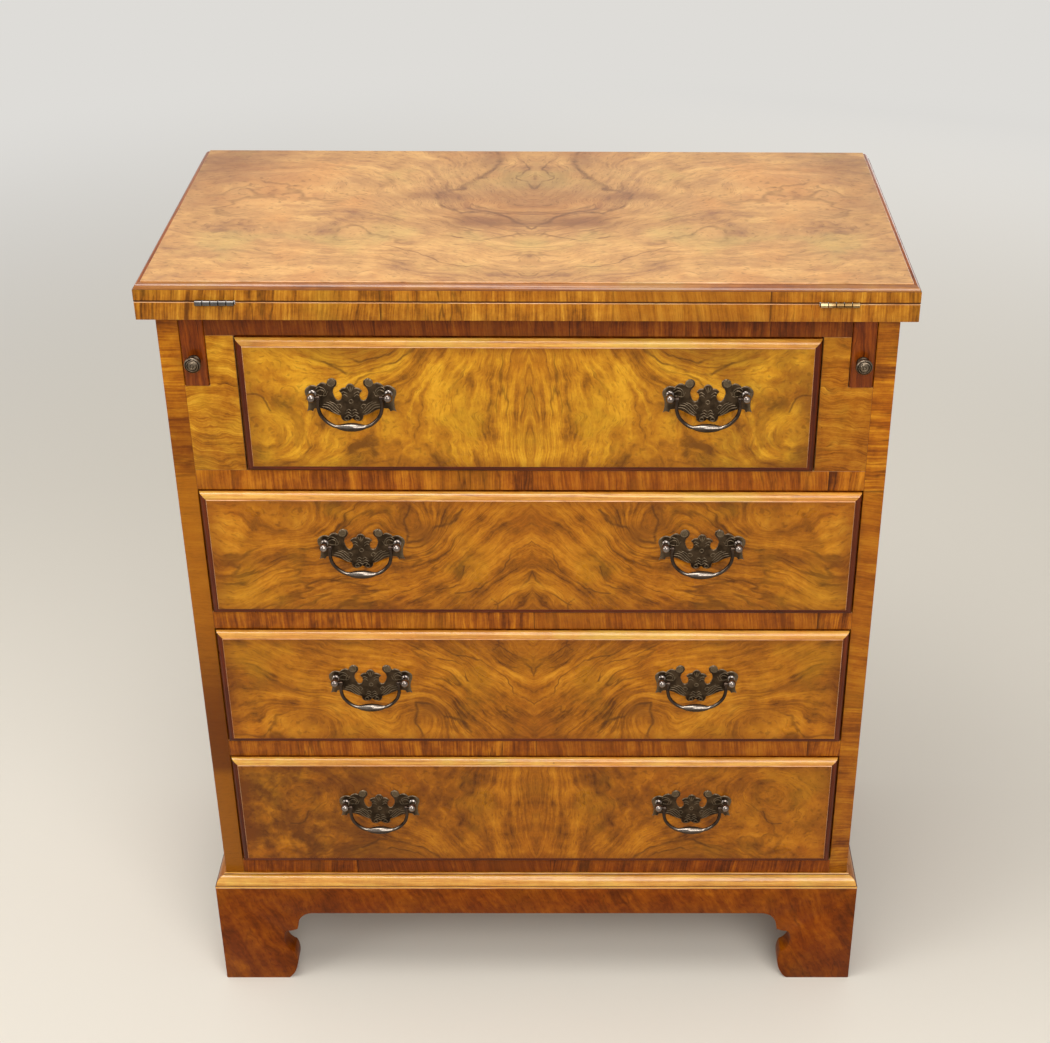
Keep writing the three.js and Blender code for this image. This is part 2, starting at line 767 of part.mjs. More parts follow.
function post(x) {
  const neckTop = postReach - Math.sqrt(postBallRadius ** 2 - postRadius ** 2);
  const start = Math.asin((neckTop - postReach) / postBallRadius);
  const radii = [postBallRadius, postBallRadius];
  const ball = arcPoints([0, postReach], radii, start, Math.PI / 2, ballSteps);
  return turnedForward([
    [0, plateThick / 2], [postCollarRadius, plateThick / 2],
    [postCollarRadius, plateThick + postCollarThick / 2],
    [postRadius, plateThick + postCollarThick],
    ...ball.slice(0, -1), [0, postReach + postBallRadius],
  ], postSteps, [x, 0, 0]);
}

function plateWithPosts() {
  const postX = postSpacing / 2;
  const boreFrom = postX - postBallRadius - overrun;
  const boreTo = postX - postBallRadius + bailPinReach + runClear;
  const radius = bailPinRadius + runClear;
  const bores = [[boreFrom, boreTo], [-boreTo, -boreFrom]];
  let solid = backplate().add(post(-postX)).add(post(postX));
  for (const span of bores) {
    solid = solid.subtract(barX(radius, span, -postReach, 0, rodSides));
  }
  return solid;
}

function bail() {
  const armX = postSpacing / 2 - postBallRadius - bailEyeClear - bailRadius;
  const half = bailShares.map(([a, b]) => [a * armX, b * bailDrop]);
  const middle = [[0, -bailDrop]];
  const line = [...half, ...middle, ...half.map(([a, b]) => [-a, b]).reverse()];
  const path = new THREE.CatmullRomCurve3(
    line.map(([a, b]) => new THREE.Vector3(a, -postReach, b)),
  );
  const section = new THREE.Shape();
  for (let i = 0; i < rodSides; i += 1) {
    const angle = (i + 0.5) * Math.PI * 2 / rodSides;
    const corner = [bailRadius * Math.cos(angle), bailRadius * Math.sin(angle)];
    section[i > 0 ? 'lineTo' : 'moveTo'](...corner);
  }
  const settings = { steps: sweepSteps, bevelEnabled: false, extrudePath: path };
  let solid = solidOf(new THREE.ExtrudeGeometry(section, settings));
  const eyeOuter = armX + bailRadius;
  const eyeInner = armX - bailRadius;
  const pinEnd = postSpacing / 2 - postBallRadius + bailPinReach;
  for (const side of [-1, 1]) {
    const eye = [side * eyeInner, side * eyeOuter].sort((a, b) => a - b);
    const pin = [side * armX, side * pinEnd].sort((a, b) => a - b);
    solid = solid.add(barX(bailEyeRadius, eye, -postReach, 0, rodSides));
    solid = solid.add(barX(bailPinRadius, pin, -postReach, 0, rodSides));
  }
  return solid.add(bailGrip());
}

// The swollen grip, whose radius follows a parabola along its length
function bailGrip() {
  const rows = [[0, -bailGripHalf]];
  for (let i = 0; i <= gripSteps; i += 1) {
    const share = 2 * i / gripSteps - 1;
    const swell = (bailGripRadius - bailRadius) * (1 - share ** 2);
    rows.push([bailRadius + swell, share * bailGripHalf]);
  }
  rows.push([0, bailGripHalf]);
  const geometry = new THREE.LatheGeometry(rows.map((row) => new THREE.Vector2(...row)), rodSides);
  geometry.rotateZ(-Math.PI / 2);
  geometry.translate(0, -postReach, -bailDrop);
  return solidOf(geometry);
}

function buildDrawers(group) {
  openings.forEach((opening, i) => {
    const name = `drawer_${i + 1}`;
    const sizes = drawerSizes(opening);
    const drawer = new THREE.Group();
    drawer.position.set(0, caseFrontY, opening.lowZ);
    addPiece(drawer, `${name}_front`, drawerFront(sizes), drawerVeneer);
    addPair(drawer, `${name}_side`, drawerSide(sizes), liningWood);
    addPiece(drawer, `${name}_back`, drawerBack(sizes), liningWood);
    addPiece(drawer, `${name}_bottom`, drawerBottom(sizes), liningWood);
    for (const [side, x] of [['left', -handleX], ['right', handleX]]) {
      const handle = new THREE.Group();
      handle.position.set(x, -frontProud, sizes.height / 2 + handleRise);
      addPiece(handle, `${name}_plate_${side}`, plateWithPosts(), antiqueBrass);
      addPiece(handle, `${name}_bail_${side}`, bail(), antiqueBrass);
      drawer.add(handle);
    }
    group.add(drawer);
  });
}

const chest = new THREE.Group();
buildTop(chest);
buildHinges(chest);
buildCase(chest);
buildLopers(chest);
buildBase(chest);
buildDrawers(chest);

export default chest;
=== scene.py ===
import math

import bmesh
import bpy
import numpy as np
from mathutils import Matrix, Vector
from mathutils.geometry import delaunay_2d_cdt


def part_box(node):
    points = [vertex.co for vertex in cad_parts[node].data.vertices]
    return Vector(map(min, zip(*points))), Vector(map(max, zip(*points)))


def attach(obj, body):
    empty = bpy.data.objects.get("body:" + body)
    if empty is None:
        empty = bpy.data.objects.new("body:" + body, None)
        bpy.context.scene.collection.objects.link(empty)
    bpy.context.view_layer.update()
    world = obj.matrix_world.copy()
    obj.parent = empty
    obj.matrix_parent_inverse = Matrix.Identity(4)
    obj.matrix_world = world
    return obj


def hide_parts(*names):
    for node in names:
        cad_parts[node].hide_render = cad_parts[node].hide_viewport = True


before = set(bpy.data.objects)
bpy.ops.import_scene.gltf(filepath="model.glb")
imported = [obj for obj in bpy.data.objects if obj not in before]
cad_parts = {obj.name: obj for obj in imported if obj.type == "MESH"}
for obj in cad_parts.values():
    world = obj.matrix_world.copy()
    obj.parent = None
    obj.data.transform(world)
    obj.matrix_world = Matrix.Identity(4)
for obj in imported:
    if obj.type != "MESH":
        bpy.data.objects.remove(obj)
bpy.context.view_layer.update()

# Camera, lamps and floor. The camera stands in front of the chest, above its top, and looks
# down on it with the lens set off to one side. Soft boxes hang overhead and stand in front, at
# the left and behind, and a plain pale floor runs out to the horizon.
MM = 0.001
FRAME_WIDTH = 1050
CAMERA_PLACE = (0.04668, -1.52215, 1.34566)
CAMERA_YAW = 0.010435
CAMERA_PITCH = 0.532119
CAMERA_ROLL = 0.007406
FOCAL_PIXELS = 1816.57
FRAME_CENTRE_OFFSET = -76.1
SENSOR_WIDTH = 36.0
FAR_CLIP = 50.0


def shown(name, data):
    """A new object in the scene"""
    piece = bpy.data.objects.new(name, data)
    bpy.context.scene.collection.objects.link(piece)
    return piece


camera_data = bpy.data.cameras.new("camera")
camera_data.sensor_width = SENSOR_WIDTH
camera_data.lens = SENSOR_WIDTH * FOCAL_PIXELS / FRAME_WIDTH
camera_data.shift_x = FRAME_CENTRE_OFFSET / FRAME_WIDTH
camera_data.clip_end = FAR_CLIP
camera = shown("camera", camera_data)
bpy.context.scene.camera = camera
bpy.context.scene.view_settings.view_transform = "Standard"

ahead = Vector((
    math.sin(CAMERA_YAW) * math.cos(CAMERA_PITCH),
    math.cos(CAMERA_YAW) * math.cos(CAMERA_PITCH),
    -math.sin(CAMERA_PITCH),
))
level_right = Vector((math.cos(CAMERA_YAW), -math.sin(CAMERA_YAW), 0.0))
level_up = level_right.cross(ahead)
roll_cos, roll_sin = math.cos(CAMERA_ROLL), math.sin(CAMERA_ROLL)
camera_right = roll_cos * level_right + roll_sin * level_up
camera_up = roll_cos * level_up - roll_sin * level_right
turned = Matrix((camera_right, camera_up, -ahead)).transposed().to_4x4()
camera.matrix_world = Matrix.Translation(CAMERA_PLACE) @ turned


def shade(red, green, blue):
    """A colour as it looks on a screen, from 0 to 255, as the linear colour of a socket"""
    def linear(value):
        share = value / 255
        return share / 12.92 if share <= 0.04045 else ((share + 0.055) / 1.055) ** 2.4
    return linear(red), linear(green), linear(blue), 1.0


def add(tree, kind, inputs, **settings):
    """Adds a node. Each input, by name or number, is a value or another node's output."""
    node = tree.nodes.new(kind)
    for key, value in settings.items():
        setattr(node, key, value)
    for key, value in inputs.items():
        if isinstance(value, bpy.types.NodeSocket):
            tree.links.new(value, node.inputs[key])
        else:
            node.inputs[key].default_value = value
    return node


def calc(tree, operation, *values, **settings):
    """The result of a sum on values or on other nodes' outputs"""
    inputs = dict(enumerate(values))
    return add(tree, "ShaderNodeMath", inputs, operation=operation, **settings).outputs[0]


def rising(tree, value, low, high, to_low=0.0, to_high=1.0):
    """A smooth rise of a value from one level to another, flat before and after"""
    limits = {"From Min": low, "From Max": high, "To Min": to_low, "To Max": to_high}
    settings = {"Value": value, **limits}
    node = add(tree, "ShaderNodeMapRange", settings, interpolation_type="SMOOTHSTEP")
    return node.outputs["Result"]


def mixed(tree, amount, under, over):
    """One colour laid over another by an amount or a mask"""
    inputs = {0: amount, 6: under, 7: over}
    return add(tree, "ShaderNodeMix", inputs, data_type="RGBA").outputs[2]


def on_places(tree, operation, *places, output="Vector"):
    """The result of a sum on places, as a place or as a value"""
    inputs = dict(enumerate(places))
    return add(tree, "ShaderNodeVectorMath", inputs, operation=operation).outputs[output]


def new_finish(name, roughness, metallic=0.0, coat=0.0, coat_roughness=0.1, specular=0.5):
    """A material, its tree and its surface shader, on which the constant values are set"""
    finish = bpy.data.materials.new(name)
    finish.use_nodes = True
    shader = finish.node_tree.nodes["Principled BSDF"]
    shader.inputs["Roughness"].default_value = roughness
    shader.inputs["Metallic"].default_value = metallic
    shader.inputs["Coat Weight"].default_value = coat
    shader.inputs["Coat Roughness"].default_value = coat_roughness
    shader.inputs["Specular IOR Level"].default_value = specular
    return finish, finish.node_tree, shader


# Each lamp's place, what it faces, its width, its height and its power
LAMPS = [
    ("overhead_box", (-0.10, 0.05, 2.60), (0.0, 0.0, 0.6), 3.0, 2.8, 16.0),
    ("near_box", (-0.45, -0.45, 2.25), (0.0, -0.1, 0.6), 1.5, 0.75, 19.0),
    ("front_box", (0.75, -2.30, 1.90), (0.0, 0.0, 0.45), 1.9, 1.9, 50.0),
    ("side_box", (-2.20, -1.30, 1.50), (0.0, 0.0, 0.40), 1.2, 1.2, 17.0),
    ("back_box", (0.90, 2.60, 0.60), (0.0, 0.0, 0.40), 2.0, 1.0, 10.0),
]
for name, place, target, width, height, power in LAMPS:
    lamp_data = bpy.data.lights.new(name, "AREA")
    lamp_data.shape = "RECTANGLE"
    lamp_data.size = width
    lamp_data.size_y = height
    lamp_data.energy = power
    lamp = shown(name, lamp_data)
    aim = (Vector(target) - Vector(place)).to_track_quat("-Z", "Y")
    lamp.matrix_world = Matrix.Translation(place) @ aim.to_matrix().to_4x4()

ROOM_LEVEL = 0.37
MIRRORED_LEVEL = 0.86
ROOM_COLOUR = shade(250, 250, 250)
FAR_COLOUR = shade(222, 220, 216)
room = bpy.data.worlds.new("room")
bpy.context.scene.world = room
room.use_nodes = True
room_tree = room.node_tree
rays = add(room_tree, "ShaderNodeLightPath", {}).outputs
in_view = rays["Is Camera Ray"]
mirrored = calc(room_tree, "MAXIMUM", rays["Is Glossy Ray"], rays["Is Transmission Ray"])
strength = calc(room_tree, "MULTIPLY_ADD", mirrored, MIRRORED_LEVEL - ROOM_LEVEL, ROOM_LEVEL)
strength = calc(room_tree, "MULTIPLY_ADD", in_view, 1.0 - ROOM_LEVEL, strength)
room_light = room_tree.nodes["Background"]
room_tree.links.new(mixed(room_tree, in_view, ROOM_COLOUR, FAR_COLOUR), room_light.inputs["Color"])
room_tree.links.new(strength, room_light.inputs["Strength"])

FLOOR_HALF = 20.0
FLOOR_COLOUR = shade(218, 211, 198)
FAR_FROM, FAR_TO = 0.9, 3.0
floor_finish, floor_tree, floor_shader = new_finish("floor_paint", roughness=0.9, specular=0.2)
floor_shader.inputs["Base Color"].default_value = FLOOR_COLOUR
floor_place = add(floor_tree, "ShaderNodeTexCoord", {}).outputs["Object"]
away = on_places(floor_tree, "LENGTH", floor_place, output="Value")
rays = add(floor_tree, "ShaderNodeLightPath", {}).outputs
seen = calc(floor_tree, "MAXIMUM", rays["Is Camera Ray"], rays["Is Glossy Ray"])
far = calc(floor_tree, "MULTIPLY", rising(floor_tree, away, FAR_FROM, FAR_TO), seen)
glow = add(floor_tree, "ShaderNodeEmission", {"Color": FAR_COLOUR}).outputs[0]
blended = add(
    floor_tree, "ShaderNodeMixShader", {0: far, 1: floor_shader.outputs[0], 2: glow}
).outputs[0]
floor_tree.links.new(blended, floor_tree.nodes["Material Output"].inputs["Surface"])
floor_mesh = bpy.data.meshes.new("floor")
floor_corners = [(-1, -1), (1, -1), (1, 1), (-1, 1)]
floor_mesh.from_pydata(
    [(FLOOR_HALF * x, FLOOR_HALF * y, 0.0) for x, y in floor_corners], [], [(0, 1, 2, 3)]
)
floor_mesh.materials.append(floor_finish)
floor = shown("floor", floor_mesh)

# Base front. A walnut-veneered board with a bracket foot cut at each end and a solid ovolo
# moulding glued along its top edge. Its ends are mitred to the base sides.
BASE_THICK = 20 * MM
BASE_PROUD = 10.1 * MM
FOOT_WIDTH = 63.4 * MM
FOOT_HEIGHT = 87.1 * MM
MOULD_HEIGHT = 12.8 * MM
MOULD_TOP_FILLET = 1.4 * MM
MOULD_TOP_WIDTH = 2.2 * MM
MOULD_LOW_FILLET = 2.6 * MM
MOULD_LOW_WIDTH = 1.0 * MM
LOW_WEAR_AND_HIGHLIGHT = 0.8 * MM
TOP_WEAR_AND_HIGHLIGHT = 0.5 * MM
CASE_GAP = 0.2 * MM
ARRIS = 0.5 * MM
ARRIS_LEAST = math.radians(40)
NEAR_FACE = 0.1 * MM
FACING = 0.7
CURVE_STEPS = 10
ROUND_STEPS = 12
SMOOTH_ANGLE = math.radians(32)

# From the foot's inner bottom corner up to the apron, as shares of its width and height
FOOT_SHARES = [
    ((1.13, 0.07), (1.164, 0.247)),
    ((1.17, 0.34), (1.126, 0.413)),
    ((0.985, 0.46), (0.986, 0.608)),
    ((0.985, 0.73), (1.08, 0.73)),
    ((1.14, 0.735), (1.213, 0.762)),
    ((1.23, 0.99), (1.468, 1.0)),
]


def new_group(name, places, values, outputs):
    """An empty shader group, whose inputs are places, and values with what they start from"""
    tree = bpy.data.node_groups.new(name, "ShaderNodeTree")
    for label in places:
        tree.interface.new_socket(label, in_out="INPUT", socket_type="NodeSocketVector")
    for label, start in values.items():
        socket = tree.interface.new_socket(label, in_out="INPUT", socket_type="NodeSocketFloat")
        socket.default_value = start
    for label in outputs:
        tree.interface.new_socket(label, in_out="OUTPUT", socket_type="NodeSocketFloat")
    given = tree.nodes.new("NodeGroupInput").outputs
    return tree, given, tree.nodes.new("NodeGroupOutput").inputs


def grouped(tree, group, **values):
    """The outputs of a group that is placed in a tree with its own values"""
    return add(tree, "ShaderNodeGroup", values, node_tree=group).outputs


def noise(tree, place, scale, detail=2.0, roughness=0.5):
    """A cloudy value from 0 to 1"""
    settings = {"Vector": place, "Scale": scale, "Detail": detail, "Roughness": roughness}
    return add(tree, "ShaderNodeTexNoise", settings).outputs["Fac"]


def vector(tree, x, y, z):
    """A place from its distances along the axes"""
    return add(tree, "ShaderNodeCombineXYZ", {0: x, 1: y, 2: z}).outputs[0]


def bumped(tree, shader, height, strength, distance):
    """Raises or sinks a surface a little by a height"""
    settings = {"Height": height, "Strength": strength, "Distance": distance}
    bump = add(tree, "ShaderNodeBump", settings).outputs[0]
    tree.links.new(bump, shader.inputs["Normal"])


def roughened(tree, shader, cloud, spread):
    """Spreads a surface's roughness evenly about its set value, as a cloudy value says"""
    middle = shader.inputs["Roughness"].default_value
    uneven = calc(tree, "MULTIPLY_ADD", cloud, spread, middle - spread / 2)
    tree.links.new(uneven, shader.inputs["Roughness"])


# The growth rings of walnut follow the levels of a field. Pores and streaks run along them.
WAVER_REACH = 0.3
QUICK_WAVER = 0.17
BROAD_GRAIN = 1.65
STREAK_GRAIN = 1.15
GRAIN_LEVEL = -1.4
VEIN_HALF = 0.028
wood_figure, given, result = new_group(
    "wood_figure", ["Place"],
    {"Field": 0.0, "Bands": 5.0, "Seed": 0.0, "Waver": 1.0, "Contrast": 1.0, "Mottle": 0.4},
    ["Tone", "Vein", "Pores"],
)
sides = add(wood_figure, "ShaderNodeSeparateXYZ", {0: given["Place"]}).outputs
slow = noise(wood_figure, given["Place"], 2.1, detail=3.0)
quick = noise(wood_figure, given["Place"], 9.0, detail=2.0)
waver = calc(wood_figure, "MULTIPLY_ADD", quick, QUICK_WAVER, slow)
reach = calc(wood_figure, "MULTIPLY", given["Waver"], WAVER_REACH)
waver = calc(wood_figure, "MULTIPLY", waver, reach)
level = calc(wood_figure, "ADD", given["Field"], waver)
ring = calc(wood_figure, "MULTIPLY_ADD", level, given["Bands"], given["Seed"])


def ring_noise(across, along, offset, detail, roughness=0.5):
    """A cloudy value drawn out along the rings, at a scale across and a scale along them"""
    run = [calc(wood_figure, "MULTIPLY", sides[i], along) for i in (0, 1)]
    spread = calc(wood_figure, "MULTIPLY_ADD", ring, across, offset)
    return noise(wood_figure, vector(wood_figure, spread, *run), 1.0, detail, roughness)


broad = ring_noise(across=1.0, along=0.8, offset=0.0, detail=5.0, roughness=0.6)
streak = ring_noise(across=6.5, along=2.4, offset=5.0, detail=3.0, roughness=0.6)
grain = calc(wood_figure, "MULTIPLY_ADD", broad, BROAD_GRAIN, GRAIN_LEVEL)
grain = calc(wood_figure, "MULTIPLY_ADD", streak, STREAK_GRAIN, grain)
apart = on_places(wood_figure, "ADD", given["Place"], given["Seed"])
cloud = noise(wood_figure, apart, 4.5, detail=6.0, roughness=0.72)
cloud = calc(wood_figure, "MULTIPLY", calc(wood_figure, "SUBTRACT", cloud, 0.5), given["Mottle"])
tone = calc(wood_figure, "MULTIPLY_ADD", grain, given["Contrast"], cloud)
wood_figure.links.new(calc(wood_figure, "ADD", tone, 0.5, use_clamp=True), result["Tone"])
ridge = ring_noise(across=0.9, along=0.9, offset=17.0, detail=3.0)
ridge = calc(wood_figure, "ABSOLUTE", calc(wood_figure, "SUBTRACT", ridge, 0.5))
ridge = rising(wood_figure, ridge, 0.0, VEIN_HALF, 1.0, 0.0)
patch = rising(wood_figure, noise(wood_figure, apart, 1.2), 0.46, 0.64)
vein = calc(wood_figure, "MULTIPLY", calc(wood_figure, "MULTIPLY", ridge, patch), given["Contrast"])
wood_figure.links.new(vein, result["Vein"])
pores = ring_noise(across=26.0, along=15.0, offset=3.0, detail=1.0)
wood_figure.links.new(rising(wood_figure, pores, 0.56, 0.72), result["Pores"])

# Small knocks and dark specks that years of use leave on a polished surface
SPECK_SIZES = (0.025, 0.06)
age_marks, given, result = new_group("age_marks", ["Place"], {"Amount": 0.06}, ["Specks"])
cells = add(age_marks, "ShaderNodeTexVoronoi", {"Vector": given["Place"], "Scale": 7.0}).outputs
near = rising(age_marks, cells["Distance"], *SPECK_SIZES, 1.0, 0.0)
pick = add(age_marks, "ShaderNodeSeparateColor", {0: cells["Color"]}).outputs[0]
chosen = calc(age_marks, "LESS_THAN", pick, given["Amount"])
age_marks.links.new(calc(age_marks, "MULTIPLY", near, chosen), result["Specks"])

# Short lengths of veneer laid end to end, each of its own tone, with a fine joint between
PIECE_SWAY = 1.6
JOINT_WIDTH = 0.008
short_pieces, given, result = new_group(
    "short_pieces", [], {"Run": 0.0, "Length": 1.8, "Seed": 0.0}, ["Piece", "Joint"]
)
run_in_pieces = calc(short_pieces, "DIVIDE", given["Run"], given["Length"])
sway = noise(short_pieces, vector(short_pieces, run_in_pieces, given["Seed"], 0.0), 0.7, detail=0.0)
run_in_pieces = calc(short_pieces, "MULTIPLY_ADD", sway, PIECE_SWAY, run_in_pieces)
whole = calc(short_pieces, "FLOOR", run_in_pieces)
part = calc(short_pieces, "SUBTRACT", run_in_pieces, whole)
own_place = vector(short_pieces, whole, given["Seed"], 0.0)
draw = add(short_pieces, "ShaderNodeTexWhiteNoise", {"Vector": own_place}).outputs["Value"]
short_pieces.links.new(draw, result["Piece"])
short_pieces.links.new(rising(short_pieces, part, 0.0, JOINT_WIDTH, 1.0, 0.0), result["Joint"])

DECIMETRE = 0.1
MIRROR_WAVER = 0.05


def place_from(tree, axes, centre=(0.0, 0.0, 0.0), mirrored=False, flipped=False):
    """Object coordinates in decimetres from a centre, as across the veneer, up it and deep"""
    coordinates = add(tree, "ShaderNodeTexCoord", {}).outputs["Object"]
    settings = {
        "Vector": coordinates,
        "Location": [-value / DECIMETRE for value in centre],
        "Scale": [1 / DECIMETRE] * 3,
    }
    moved = add(tree, "ShaderNodeMapping", settings).outputs[0]
    given_sides = add(tree, "ShaderNodeSeparateXYZ", {0: moved}).outputs
    across, up, deep = [given_sides["XYZ".index(axis)] for axis in axes]
    if mirrored:
        uneven = noise(tree, moved, 1.6, detail=2.0)
        from_joint = calc(tree, "ABSOLUTE", across)
        across = calc(tree, "MULTIPLY_ADD", uneven, MIRROR_WAVER, from_joint)
    if flipped:
        up = calc(tree, "MULTIPLY", up, -1.0)
    return across, up, vector(tree, across, up, deep)


DEEP_SLANT = 0.4
PIECE_LEAN = 0.18
PIECE_SHIFT = 9.0
PIECE_DARK = 0.5
JOINT_DARK = 0.8
RAMP_STOPS = [0.08, 0.40, 0.68, 0.95]
WOOD_SPECULAR = 0.1
REDDENED = 0.26
PALED = 0.5
VEIN_DARK = 0.55
PORE_DARK = 0.32
SPECK_DARK = 0.6
SPECK_SINK = 1.5
POLISH_SPREAD = 0.16
STRAIGHT = {"Bands": 5.0, "Waver": 0.35, "Contrast": 0.75, "Mottle": 0.5}
BANDED = {"Bands": 10.0, "Waver": 0.16, "Contrast": 1.1, "Mottle": 1.3}


def wood_tones(*colours):
    """The tones of a wood, from light to dark"""
    return [shade(*colour) for colour in colours]


def tinted(colour, red, green, blue):
    """A colour with its red, green and blue each multiplied"""
    return colour[0] * red, colour[1] * green, colour[2] * blue, 1.0


def colour_wood(tree, shader, place, tones, marks=(), specks=0.06, **figure_values):
    """Colours a wood: its tones from light to dark, then each mark's mask and colour"""
    figure = grouped(tree, wood_figure, Place=place, **figure_values)
    ramp = add(tree, "ShaderNodeValToRGB", {"Fac": figure["Tone"]})
    stops = ramp.color_ramp.elements
    while len(stops) < len(tones):
        stops.new(0.5)
    for stop, place_on_ramp, tone_colour in zip(stops, RAMP_STOPS, reversed(tones)):
        stop.position = place_on_ramp
        stop.color = tone_colour
    deep = tinted(tones[-1], 0.35, 0.35, 0.35)
    red = tinted(tones[1], 1.0, 0.66, 0.5)
    olive = tinted(tones[1], 0.84, 1.08, 1.0)
    drift = noise(tree, place, 1.1, detail=4.0, roughness=0.6)
    age = grouped(tree, age_marks, Place=place, Amount=specks)["Specks"]
    layers = [
        (rising(tree, drift, 0.52, 0.72), REDDENED, red),
        (rising(tree, drift, 0.50, 0.3), PALED, olive),
        (figure["Vein"], VEIN_DARK, deep),
        *[(mask, 1.0, mark_colour) for mask, mark_colour in marks],
        (figure["Pores"], PORE_DARK, deep), (age, SPECK_DARK, deep),
    ]
    colour = ramp.outputs[0]
    for mask, amount, over in layers:
        if amount != 1.0:
            mask = calc(tree, "MULTIPLY", mask, amount)
        colour = mixed(tree, mask, colour, over)
    tree.links.new(colour, shader.inputs["Base Color"])
    hollows = calc(tree, "MULTIPLY_ADD", age, SPECK_SINK, figure["Pores"])
    bumped(tree, shader, hollows, strength=0.08, distance=-0.1 * MM)
    roughened(tree, shader, noise(tree, place, 2.6, detail=3.0), POLISH_SPREAD)


def straight_wood(name, axes, tones, roughness=0.34, coat=0.1, slant=0.04, **figure_values):
    """A plain wood whose grain runs along the second of the axes"""
    finish, tree, shader = new_finish(name, roughness, coat=coat, specular=WOOD_SPECULAR)
    across, up, place = place_from(tree, axes)
    field = calc(tree, "MULTIPLY_ADD", up, slant, across)
    deep_way = add(tree, "ShaderNodeSeparateXYZ", {0: place}).outputs[2]
    field = calc(tree, "MULTIPLY_ADD", deep_way, DEEP_SLANT, field)
    colour_wood(tree, shader, place, tones, Field=field, **{**STRAIGHT, **figure_values})
    return finish


def banded_wood(name, axes, tones, length, seed, shades=()):
    """Cross-banding: short lengths of veneer, whose fine grain runs across the band

    Each shade, most often a painted shade lower down, is a colour that deepens from one
    height down to another, in decimetres, and its amount.
    """
    finish, tree, shader = new_finish(name, 0.34, coat=0.1, specular=WOOD_SPECULAR)
    across, up, place = place_from(tree, axes)
    pieces = grouped(tree, short_pieces, Run=across, Length=length, Seed=seed)
    lean = calc(tree, "MULTIPLY_ADD", pieces["Piece"], 2 * PIECE_LEAN, -PIECE_LEAN)
    field = calc(tree, "MULTIPLY_ADD", lean, up, across)
    field = calc(tree, "MULTIPLY_ADD", pieces["Piece"], PIECE_SHIFT, field)
    toned = calc(tree, "MULTIPLY", rising(tree, pieces["Piece"], 0.3, 1.0), PIECE_DARK)
    joint = calc(tree, "MULTIPLY", pieces["Joint"], JOINT_DARK)
    marks = [(toned, tones[-2]), (joint, tinted(tones[-1], 0.3, 0.3, 0.3))]
    height = add(tree, "ShaderNodeSeparateXYZ", {0: place}).outputs[axes.index("Z")]
    for low_colour, start, end, amount in shades:
        low_mask = calc(tree, "MULTIPLY", rising(tree, height, end, start, 1.0, 0.0), amount)
        marks.append((low_mask, low_colour))
    colour_wood(tree, shader, place, tones, marks, Field=field, Seed=seed, **BANDED)
    return finish


def fit(piece, body, node):
    """Lets a piece move with a body and stand for a solid"""
    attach(piece, body)
    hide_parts(node)


def arc(start, end, steps):
    """Angles at even steps from a start to an end"""
    return [start + (end - start) * step / steps for step in range(steps + 1)]


QUARTER = arc(0.0, math.pi / 2, ROUND_STEPS)


def bent_line(start, rows, steps):
    """Points along a run of curves, each given by its handle and its end"""
    points = [start]
    for handle, end in rows:
        start = points[-1]
        for step in range(1, steps + 1):
            share = step / steps
            first, middle, last = (1 - share) ** 2, 2 * share * (1 - share), share ** 2
            points.append(tuple(
                first * a + middle * b + last * c for a, b, c in zip(start, handle, end)
            ))
    return points


def bracket_outline(low, high, top):
    """A board with a foot at each end, seen from its face"""
    curve = bent_line((1.0, 0.0), FOOT_SHARES, CURVE_STEPS)
    inner = [(a * FOOT_WIDTH, b * FOOT_HEIGHT) for a, b in curve]
    left = [(low + a, b) for a, b in inner]
    right = [(high - a, b) for a, b in reversed(inner)]
    return [(low, top), (low, 0.0), *left, *right, (high, 0.0), (high, top)]


def mould_section():
    """The base moulding from its lower outer corner up, as its reach and its height"""
    reach = BASE_PROUD - MOULD_LOW_WIDTH - MOULD_TOP_WIDTH
    rise = MOULD_HEIGHT - MOULD_TOP_FILLET - MOULD_LOW_FILLET
    rounded = [
        (MOULD_TOP_WIDTH + reach * math.cos(angle), MOULD_LOW_FILLET + rise * math.sin(angle))
        for angle in QUARTER
    ]
    return [
        (CASE_GAP, 0.0), (BASE_PROUD, 0.0), (BASE_PROUD, LOW_WEAR_AND_HIGHLIGHT),
        (BASE_PROUD, MOULD_LOW_FILLET), *rounded,
        (MOULD_TOP_WIDTH, MOULD_HEIGHT - TOP_WEAR_AND_HIGHLIGHT), (MOULD_TOP_WIDTH - TOP_WEAR_AND_HIGHLIGHT, MOULD_HEIGHT),
        (CASE_GAP, MOULD_HEIGHT),
    ]


def outward(points, faces):
    """A worked solid from its points and faces, with its faces pointing out"""
    work = bmesh.new()
    corners = [work.verts.new(point) for point in points]
    for face in faces:
        work.faces.new([corners[i] for i in face])
    bmesh.ops.recalc_face_normals(work, faces=work.faces)
    return work


def carried(outline, near, far):
    """A worked solid of an outline carried from its near places to its far places"""
    count = len(outline)
    points = [near(a, b) for a, b in outline] + [far(a, b) for a, b in outline]
    faces = [tuple(range(count)), tuple(range(2 * count - 1, count - 1, -1))]
    faces += [(i, i + count, (i + 1) % count + count, (i + 1) % count) for i in range(count)]
    return outward(points, faces)


def ease(work, width):
    """Takes the sharpness off the arrises of a solid"""
    edges = [
        edge for edge in work.edges
        if edge.is_convex and edge.calc_face_angle(0.0) > ARRIS_LEAST
    ]
    bmesh.ops.bevel(
        work, geom=edges, offset=width, segments=2, profile=0.5,
        affect="EDGES", clamp_overlap=True,
    )


def smoothed(piece):
    """Shades a piece as round, but for its sharp edges"""
    piece.data.shade_smooth()
    piece.data.set_sharp_from_angle(angle=SMOOTH_ANGLE)
    return piece


